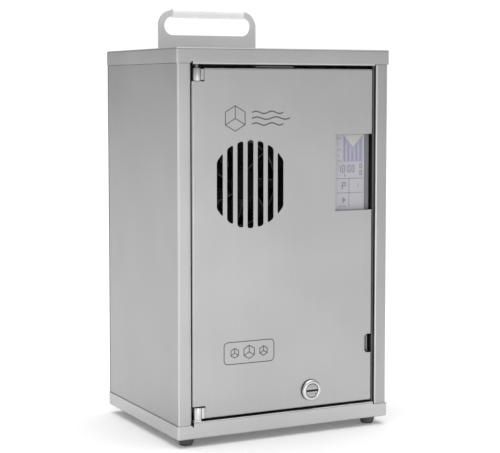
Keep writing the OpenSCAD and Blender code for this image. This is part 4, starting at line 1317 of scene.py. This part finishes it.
class SALTCABINET_OT_lock(bpy.types.Operator):
    """Turn the lock's bezel and slotted plug, and dress the cam and the nuts"""

    bl_idname = "salt_cabinet.lock"
    bl_label = "Lock"

    slot = Vector((8.3, 1.6, 1.3)) * MM
    dot = Vector((5.2, 0, -4.4)) * MM

    def execute(self, context):
        low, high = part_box("lock_body")
        self.centre = Vector(((low.x + high.x) / 2, low.y, (low.z + high.z) / 2))
        self.bezel(low, high)
        self.plug()
        finished("lock_nut", "zinc", 0.4 * MM)
        finished("lock_cam", "zinc", 0.3 * MM)
        finished("lock_cam_nut", "zinc", 0.3 * MM)
        return {"FINISHED"}

    def bezel(self, low, high):
        """Domed ring with a groove round the plug, on its threaded stem."""
        wide = (high.x - low.x) / 2
        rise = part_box("door_panel")[0].y - low.y
        deep = high.y - low.y
        face = 9.25 * MM
        stem = 9.8 * MM
        bore = 7.6 * MM
        seat = 3.2 * MM
        profile = [
            (wide, rise),
            (wide, rise * 0.55),
            (wide - 0.5 * MM, rise * 0.28),
            (wide - 1.4 * MM, rise * 0.10),
            (wide - 2.6 * MM, 0.0),
            (face + 1.0 * MM, 0.0),
            (face + 0.3 * MM, 0.25 * MM),
            (face, 0.9 * MM),
            (face, seat - 0.1 * MM),
            (bore, seat),
            (bore, deep),
            (stem - 0.4 * MM, deep),
        ]
        pitch = 1.0 * MM
        groove = 0.45 * MM
        turns = int((deep - rise - 2 * pitch) / pitch)
        for i in range(turns):
            at = deep - 0.6 * MM - i * pitch
            profile += [(stem, at), (stem - groove, at - pitch / 2)]
        profile += [(stem, rise + 0.6 * MM), (stem, rise), (wide, rise)]
        bezel = turned("lock_bezel", profile, self.centre, 1, 72)
        smooth(bezel, 38.0)
        hand_over(bezel, "chrome", "lock_body")
        axis = self.centre

        # The groove round the plug and the faces under the rim take the dark finish: painted shade.
        def in_groove(m, n):
            out = math.hypot(m.x - axis.x, m.z - axis.z)
            under_rim = 0.6 * rise < m.y - axis.y < rise and out > wide - 0.1 * MM
            return out < face + 0.2 * MM or n.y < 0.2 and under_rim

        second_finish(bezel, "recess", in_groove)

    def plug(self):
        """Round face with a slot and a dot, on a stem that carries the cam."""
        plug_low, plug_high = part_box("lock_plug")
        wide = (plug_high.x - plug_low.x) / 2
        deep = plug_high.y - plug_low.y
        head = 3.0 * MM
        stem = 7.5 * MM
        neck = 4.0 * MM
        neck_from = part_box("lock_cam")[0].y - plug_low.y
        profile = [
            (0.0, 0.0),
            (wide - 0.9 * MM, 0.0),
            (wide - 0.2 * MM, 0.25 * MM),
            (wide, 0.8 * MM),
            (wide, head),
            (stem, head),
            (stem, neck_from),
            (neck, neck_from),
            (neck, deep - 0.4 * MM),
            (neck - 0.4 * MM, deep),
            (0.0, deep),
        ]
        centre = Vector((self.centre.x, plug_low.y, self.centre.z))
        plug = turned("lock_plug_piece", profile, centre, 1, 72)
        start = centre - Vector((self.slot.x, MM, self.slot.z))
        carve(plug, [block("cut", start, centre + self.slot)])
        carve(plug, [rod("cut", centre + self.dot, 0.9 * MM, 1.2 * MM, 1, 24)])
        break_edges(plug, 0.12 * MM, 2, 40.0)
        hand_over(plug, "lock_face", "lock_plug")
        # The slot, the dot and the plug's side take the dark finish: painted shade.
        sunk = head + 0.1 * MM
        second_finish(plug, "recess", lambda m, n: 0.15 * MM < m.y - centre.y < sunk)


# ---------------------------------------------------------------- etched marks


def film(name, pieces, finish, body):
    """Joins thin flat pieces into one film and hands it over."""
    obj = only(unite(name, pieces))
    bpy.ops.object.shade_flat()
    return hand_over(obj, finish, body=body)


def crystal_outline(centre, radius, width, rise):
    """A thin flat outline with six sides, facing -Y."""
    bpy.ops.mesh.primitive_circle_add(
        vertices=6, radius=radius, fill_type="NGON", location=centre, rotation=AXIS_TURN[1]
    )
    obj = settle("ring")
    with editing(obj):
        hollow_out(width)
        raise_film(rise)
    return obj


def bar(start, end, width, rise):
    """A thin flat line on the XZ plane between two points, facing -Y."""
    start = Vector(start)
    end = Vector(end)
    way = end - start
    angle = math.atan2(way.z, way.x)
    middle = (start + end) / 2
    obj = block(
        "bar",
        (middle.x - way.length / 2, middle.y - rise, middle.z - width / 2),
        (middle.x + way.length / 2, middle.y, middle.z + width / 2),
    )
    if abs(angle) > 1e-4:
        swing(obj, angle, "Y", middle)
    return obj


def wave(start, long, swell, width, rise, steps=28):
    """A thin wavy line that runs along +X, facing -Y."""
    start = Vector(start)
    bpy.ops.mesh.primitive_grid_add(
        x_subdivisions=steps,
        y_subdivisions=1,
        size=1,
        location=start + Vector((long / 2, 0, 0)),
        rotation=AXIS_TURN[1],
    )
    bpy.context.object.scale = (long, width, 1)
    obj = settle("wave")
    with editing(obj):
        for i in range(steps + 1):
            x = start.x + long * i / steps
            pick(obj, "VERT", lambda m, v, x=x: near(m.x, x, long / steps / 3))
            lift = swell * math.sin(2 * HALF_TURN * 2 * i / steps)
            bpy.ops.transform.translate(value=(0, 0, lift))
        raise_film(rise)
    return obj


def crystal(centre, radius, width, rise):
    """A six-sided outline with three inner lines, which reads as a salt crystal."""
    centre = Vector(centre)
    parts = [crystal_outline(centre, radius, width, rise)]
    for i in range(3):
        a = RIGHT_ANGLE + i * 2 * HALF_TURN / 3
        tip = centre + Vector((math.cos(a), 0, math.sin(a))) * (radius - width * 0.8)
        parts.append(bar(centre, tip, width, rise))
    return parts


class SALTCABINET_OT_marks(bpy.types.Operator):
    """Etch two plain marks on the door: a crystal with air waves, and a badge of three crystals"""

    bl_idname = "salt_cabinet.marks"
    bl_label = "Etched marks"

    crystal_radius = 17 * MM
    crystal_from_grille = Vector((-22, 0, 28)) * MM
    wave_start = 24 * MM
    wave_gap = 7.5 * MM
    wave_swell = 1.5 * MM
    waves = (46 * MM, 56 * MM, 46 * MM)
    badge_half = Vector((37, 0, 15)) * MM
    badge_up = 82 * MM
    badge_gap = 21 * MM
    badge_crystals = (7 * MM, 9.5 * MM, 7 * MM)

    def execute(self, context):
        size = sizes()
        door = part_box("door_panel")[0]
        grille = centre_of("fan_frame")
        top = Vector((grille.x, door.y, grille.z + size.grille_radius))
        centre = top + self.crystal_from_grille
        parts = crystal(centre, self.crystal_radius, size.mark_line, size.mark_rise)
        for i, long in enumerate(self.waves):
            start = centre + Vector((self.wave_start, 0, (i - 1) * self.wave_gap))
            wide = size.mark_line * 1.5
            parts.append(wave(start, long, self.wave_swell, wide, size.mark_rise))
        film("mark_crystal_and_air", parts, "etched", "door")
        self.badge(Vector((grille.x - 2 * MM, door.y, door.z + self.badge_up)))
        return {"FINISHED"}

    def badge(self, centre):
        """A round-cornered frame with three small crystals in a row."""
        size = sizes()
        rise = size.mark_rise
        plate = wall("badge", centre - self.badge_half, centre + self.badge_half, 1)
        with editing(plate):
            pick(plate, "VERT", lambda m, v: True)
            bpy.ops.mesh.bevel(offset=6 * MM, segments=6, affect="VERTICES")
            hollow_out(size.mark_line)
            raise_film(rise)
        parts = [plate]
        for i, radius in enumerate(self.badge_crystals):
            at = centre + Vector(((i - 1) * self.badge_gap, 0, 0))
            parts += crystal(at, radius, size.mark_line, rise)
        film("mark_badge", parts, "etched", "door")


# ---------------------------------------------------------------- fan and grille


class SALTCABINET_OT_fan(bpy.types.Operator):
    """Model the fan's rotor with twisted blades, and dress its frame, duct and screws"""

    bl_idname = "salt_cabinet.fan"
    bl_label = "Fan"

    blades = 7
    hub_radius = 20 * MM

    def execute(self, context):
        low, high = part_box("fan_rotor")
        centre = centre_of("fan_frame")
        self.front = low.y
        self.middle = Vector((centre.x, low.y, centre.z))
        rotor = unite("fan_rotor_piece", [self.hub(high.y - low.y)] + self.ring_of_blades())
        hand_over(rotor, "fan_plastic", "fan_rotor")
        # The hub takes the darker plastic: painted shade behind the grille.
        axis = self.middle
        reach = self.hub_radius + 0.2 * MM
        second_finish(
            rotor, "hub_plastic", lambda m, n: math.hypot(m.x - axis.x, m.z - axis.z) < reach
        )
        finished("fan_frame", "black_plastic", 0.5 * MM)
        finished("fan_duct", "black_plastic", 0.5 * MM)
        finished("fan_screws", "zinc", 0.3 * MM)
        return {"FINISHED"}

    def hub(self, deep):
        """Cup-shaped hub with a round front edge and a thin shaft behind."""
        radius = self.hub_radius
        long = 18 * MM
        shaft = 2 * MM
        inside = long - 3 * MM
        profile = (
            [(0.0, 0.4 * MM), (12 * MM, 0.4 * MM), (12.4 * MM, 0.0)]
            + rounded(radius, 2.2 * MM)
            + [(radius, long), (radius - 2 * MM, long), (radius - 2 * MM, inside)]
            + [(shaft, inside), (shaft, deep), (0.0, deep)]
        )
        hub = turned("fan_hub", profile, self.middle, 1, 64)
        smooth(hub, 38.0)
        return hub

    def ring_of_blades(self):
        """One twisted blade, copied round the hub."""
        root = 18.5 * MM
        tip = 55.5 * MM
        steps = 8
        rows = 5
        deep = 17 * MM
        x, z = self.middle.x, self.middle.z
        first = wall("fan_blade", (x + root, self.front, z), (x + tip, self.front + deep, z), 2)
        stations = [x + root + (tip - root) * i / steps for i in range(steps + 1)]
        with editing(first):
            for station in stations[1:-1]:
                slice_at((station, 0, 0), unit(0))
            for i in range(1, rows):
                slice_at((0, self.front + deep * i / rows, 0), unit(1))
            for i, station in enumerate(stations):
                share = i / steps
                pick(first, "VERT", lambda m, v, x=station: near(m.x, x, 0.3 * MM))
                spine = Vector((station, self.front + deep / 2, z))
                widen = (1, 1.0 + 0.30 * share, 1)
                pitch = math.radians(46 - 17 * share)
                bpy.ops.transform.resize(value=widen, center_override=spine)
                bpy.ops.transform.rotate(value=pitch, orient_axis="X", center_override=spine)
                bpy.ops.transform.translate(value=(0, 0, -5.0 * MM * share**2))
        apply_modifier(first, "SOLIDIFY", thickness=1.7 * MM, offset=0.0)
        break_edges(first, 0.6 * MM, 2)
        blades = [first]
        for i in range(1, self.blades):
            blade = copy_of(first, "fan_blade")
            swing(blade, 2 * HALF_TURN * i / self.blades, "Y", self.middle)
            blades.append(blade)
        return blades


# ---------------------------------------------------------------- display


class SALTCABINET_OT_display(bpy.types.Operator):
    """Build the display's face with its graph, digits and touch keys, and dress its housing"""

    bl_idname = "salt_cabinet.display"
    bl_label = "Display"

    layer = 0.05 * MM

    def execute(self, context):
        low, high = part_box("display_glass")
        self.face_y = low.y
        self.left = low.x
        self.wide = high.x - low.x
        self.base = low.z + 2 * MM
        self.tall = high.z - low.z - 4 * MM
        glass = block("display_face", low, high)
        break_edges(glass, 0.35 * MM)
        hand_over(glass, "screen", "display_glass")
        self.graph()
        self.digits()
        self.keys()
        finished("display_housing", "grey_plastic", 0.5 * MM)
        finished("display_bracket", "zinc", 0.2 * MM)
        return {"FINISHED"}

    def spot(self, across, up, lift=0):
        """A point on the face, given as shares of its width and height."""
        x = self.left + across * self.wide
        z = self.base + up * self.tall
        return Vector((x, self.face_y - lift * self.layer, z))

    def patch(self, left, bottom, right, top, lift=0):
        """A thin rectangle on the face."""
        low = self.spot(left, bottom, lift)
        high = self.spot(right, top, lift)
        return block("patch", (low.x, low.y - self.layer, low.z), (high.x, low.y, high.z))

    def wedge(self, name, corners, point, lift):
        """A thin triangle on the face: two corners of its base, and its point."""
        low, high, tip = (self.spot(*place, lift) for place in (*corners, point))
        level = near(low.z, high.z)
        axis = 2 if level else 0
        far = Vector((high.x, low.y, tip.z)) if level else Vector((tip.x, low.y, high.z))
        merged = (low + far) / 2
        merged[axis] = tip[axis]
        shape = wall(name, low, far, 1)
        with editing(shape):
            pick(shape, "VERT", lambda m, v: near(m[axis], tip[axis]))
            bpy.ops.mesh.merge(type="CENTER")
            pick(shape, "VERT", lambda m, v: near(m[axis], tip[axis]))
            bpy.ops.transform.translate(value=tip - merged)
            raise_film(self.layer)
        return shape

    def print_film(self, name, pieces, finish):
        """Joins marks of one colour on the face."""
        film("display_" + name, pieces, finish, "cabinet")

    def graph(self):
        """Field with a pale notch at the top and upright bars, and ticks to its left."""
        field = self.patch(0.28, 0.635, 0.94, 0.985)
        self.print_film("field", [field], "screen_field")
        notch = self.wedge("notch", ((0.30, 0.985), (0.94, 0.985)), (0.61, 0.83), 1)
        self.print_film("notch", [notch], "screen_glow")
        pale = []
        dark = []
        for i in range(9):
            across = 0.31 + i * 0.068
            top = 0.80 + 0.16 * abs(i - 4) / 4 - 0.03 * ((i * 5) % 3)
            (pale if i % 2 else dark).append(self.patch(across, 0.645, across + 0.022, top, 1))
        self.print_film("bars_pale", pale, "screen_pale")
        for up, wide in ((0.94, 0.15), (0.865, 0.07), (0.79, 0.15), (0.715, 0.07), (0.645, 0.15)):
            dark.append(self.patch(0.08, up, 0.08 + wide, up + 0.009, 1))
        self.print_film("bars_dark", dark, "screen_shade")

    def digits(self):
        """Four seven-segment figures for a time, two small ones and a short tick."""
        parts = []
        lit = {"0": "abcdef", "1": "bc"}
        across = 0.11
        for mark in "10:00":
            if mark == ":":
                for up in (0.525, 0.560):
                    parts.append(self.patch(across, up, across + 0.025, up + 0.009, 1))
                across += 0.055
                continue
            parts += self.figure(across, 0.495, 0.095, 0.10, lit[mark])
            across += 0.135
        for up in (0.545, 0.455):
            parts += self.figure(0.84, up, 0.09, 0.065, lit["0"])
        parts.append(self.patch(0.33, 0.440, 0.355, 0.475, 1))
        self.print_film("digits", parts, "screen_ink")

    def figure(self, left, bottom, wide, tall, lit):
        """The lit segments of one figure."""
        thin = 0.026
        low = 0.010
        places = {
            "a": (left, bottom + tall - low, left + wide, bottom + tall),
            "b": (left + wide - thin, bottom + tall / 2, left + wide, bottom + tall - low),
            "c": (left + wide - thin, bottom + low, left + wide, bottom + tall / 2),
            "d": (left, bottom, left + wide, bottom + low),
            "e": (left, bottom + low, left + thin, bottom + tall / 2),
            "f": (left, bottom + tall / 2, left + thin, bottom + tall - low),
        }
        return [self.patch(*places[letter], 1) for letter in lit]

    def keys(self):
        """Lines between the touch keys, a flag symbol and a start symbol."""
        lines = [
            self.patch(0.06, 0.412, 0.97, 0.420, 1),
            self.patch(0.06, 0.224, 0.97, 0.232, 1),
            self.patch(0.475, 0.045, 0.495, 0.420, 1),
            self.patch(0.14, 0.048, 0.38, 0.058, 1),
            self.patch(0.78, 0.300, 0.80, 0.350, 1),
        ]
        self.print_film("key_lines", lines, "screen_shade")
        marks = [
            self.patch(0.24, 0.275, 0.275, 0.370, 1),
            self.patch(0.275, 0.355, 0.375, 0.370, 1),
            self.patch(0.275, 0.313, 0.375, 0.328, 1),
            self.patch(0.345, 0.328, 0.375, 0.355, 1),
            self.wedge("start", ((0.27, 0.090), (0.27, 0.175)), (0.375, 0.1325), 1),
        ]
        self.print_film("symbols", marks, "screen_ink")


# ---------------------------------------------------------------- inner works


class SALTCABINET_OT_works(bpy.types.Operator):
    """Dress the shelf, mill, feeder, hopper, air pipe, electronics and wiring inside the case"""

    bl_idname = "salt_cabinet.works"
    bl_label = "Inner works"

    plain = (
        ("chassis_plate", "case_steel_upright", 0.2),
        ("process_shelf", "case_steel_level", 0.2),
        ("control_board", "circuit_board", 0.3),
        ("board_spacers", "zinc", 0.2),
        ("power_supply", "motor_steel", 0.5),
        ("salt_hopper", "case_steel_upright", 0.3),
        ("hopper_lid", "case_steel_level", 0.3),
        ("hopper_lid_pin", "zinc", 0.3),
        ("feed_tube", "case_steel_level", 0.3),
        ("feed_motor", "motor_steel", 0.6),
        ("drop_tube", "case_steel_upright", 0.3),
        ("mill_housing", "case_steel_level", 0.4),
        ("mill_cover", "case_steel_level", 0.5),
        ("mill_rotor", "chrome", 0.3),
        ("mill_motor", "motor_steel", 0.5),
        ("mill_screws", "zinc", 0.3),
        ("aerosol_pipe", "grey_plastic", 0.4),
        ("wiring_loom", "black_plastic", 0.3),
    )

    def execute(self, context):
        for node, finish, width in self.plain:
            finished(node, finish, width * MM)
        screw = frame["nodes"]["feed_screw"]
        screw.data.materials.clear()
        screw.data.materials.append(finish_named("chrome"))
        return {"FINISHED"}


# ---------------------------------------------------------------- stage


class SALTCABINET_OT_stage(bpy.types.Operator):
    """Lay the pale floor, hang the soft studio lights and aim the camera"""

    bl_idname = "salt_cabinet.stage"
    bl_label = "Stage"

    room = 0.50
    backdrop = 1.05
    overhead = 2.3
    overhead_spread = math.radians(70)
    front_light = 4.5
    front_at = Vector((0.0, -2.1, 0.10))
    front_size = (0.7, 0.30)
    aim_at = Vector((0, 0, 0.27))
    camera_at = (-0.8788, -1.736, 0.4587)
    lens = 101.42
    azimuth = math.radians(27.07)
    tilt = math.radians(4.365)

    def execute(self, context):
        self.floor()
        self.world()
        self.lights()
        self.camera()
        return {"FINISHED"}

    def floor(self):
        bpy.ops.mesh.primitive_plane_add(size=30.0, location=(0, 0, 0))
        floor = settle("studio_floor")
        paint = Finish(
            "studio_floor",
            Metallic=0.0,
            Roughness=0.9,
            Emission_Strength=0.09,
            Emission_Color=(*WHITE, 1.0),
        )
        cloud = paint.noise(paint.place(), 1.5, 1.0)
        tone = paint.swing_of(cloud, WHITE, 0.92, 0.94)
        floor.data.materials.append(paint.feed(Base_Color=tone))

    def world(self):
        """White backdrop for the camera, and a softer grey room for the reflections."""
        world = bpy.data.worlds.new("studio_sky")
        bpy.context.scene.world = world
        world.use_nodes = True
        sky = Nodes(world.node_tree)
        sky.tree.nodes.remove(sky.tree.nodes["Background"])
        white = (*WHITE, 1.0)
        room = sky.node("Background", Color=white, Strength=self.room * looks().light)
        backdrop = sky.node("Background", Color=white, Strength=self.backdrop)
        seen = sky.node("LightPath", output="Is Camera Ray")
        mix = sky.node("MixShader", _0=seen, _1=room, _2=backdrop)
        sky.tree.links.new(mix.socket, sky.tree.nodes["World Output"].inputs["Surface"])
        bpy.context.scene.view_settings.view_transform = "Standard"

    def lights(self):
        """A wide overhead sun, and a low softbox in front."""
        strength = looks().light
        bpy.ops.object.light_add(type="SUN", location=(0, 0, 3))
        above = bpy.context.object
        above.name = "light_above"
        above.data.energy = self.overhead * strength
        above.data.angle = self.overhead_spread
        bpy.ops.object.light_add(type="AREA", location=self.front_at)
        front = bpy.context.object
        front.name = "light_low_front"
        front.data.shape = "RECTANGLE"
        front.data.size, front.data.size_y = self.front_size
        front.data.energy = self.front_light * strength
        aim = self.aim_at - self.front_at
        front.rotation_euler = aim.to_track_quat("-Z", "Y").to_euler()

    def camera(self):
        """Long lens from the front left, just under the height of the cap."""
        bpy.ops.object.camera_add(location=self.camera_at)
        camera = bpy.context.object
        camera.name = "studio_camera"
        camera.rotation_euler = (RIGHT_ANGLE - self.tilt, 0, -self.azimuth)
        camera.data.lens = self.lens
        camera.data.sensor_width = 36.0
        camera.data.shift_y = -0.06
        camera.data.clip_start = 0.05
        camera.data.clip_end = 60.0
        bpy.context.scene.camera = camera


# ---------------------------------------------------------------- add-on


PIECES = (
    SALTCABINET_OT_side_panels,
    SALTCABINET_OT_cap_and_tray,
    SALTCABINET_OT_rear,
    SALTCABINET_OT_handle,
    SALTCABINET_OT_feet,
    SALTCABINET_OT_door,
    SALTCABINET_OT_finger_pull,
    SALTCABINET_OT_hinges,
    SALTCABINET_OT_lock,
    SALTCABINET_OT_marks,
    SALTCABINET_OT_fan,
    SALTCABINET_OT_display,
    SALTCABINET_OT_works,
    SALTCABINET_OT_stage,
)


class SALTCABINET_PT_panel(bpy.types.Panel):
    """Lists the steps that build the cabinet"""

    bl_idname = "SALTCABINET_PT_panel"
    bl_label = "Salt Cabinet"
    bl_space_type = "VIEW_3D"
    bl_region_type = "UI"
    bl_category = "Salt Cabinet"

    def draw(self, context):
        layout = self.layout
        for group in (context.scene.salt_cabinet_sizes, context.scene.salt_cabinet_looks):
            column = layout.column(align=True)
            for name in group.bl_rna.properties.keys():
                if name not in ("rna_type", "name"):
                    column.prop(group, name)
        for piece in PIECES:
            layout.operator(piece.bl_idname)


CLASSES = (SaltCabinetSizes, SaltCabinetLooks, *PIECES, SALTCABINET_PT_panel)


def register():
    for cls in CLASSES:
        bpy.utils.register_class(cls)
    bpy.types.Scene.salt_cabinet_sizes = bpy.props.PointerProperty(type=SaltCabinetSizes)
    bpy.types.Scene.salt_cabinet_looks = bpy.props.PointerProperty(type=SaltCabinetLooks)


def unregister():
    del bpy.types.Scene.salt_cabinet_looks
    del bpy.types.Scene.salt_cabinet_sizes
    for cls in reversed(CLASSES):
        bpy.utils.unregister_class(cls)


def main():
    register()
    for piece in PIECES:
        group, name = piece.bl_idname.split(".")
        getattr(getattr(bpy.ops, group), name)()


if __name__ == "__main__":
    main()
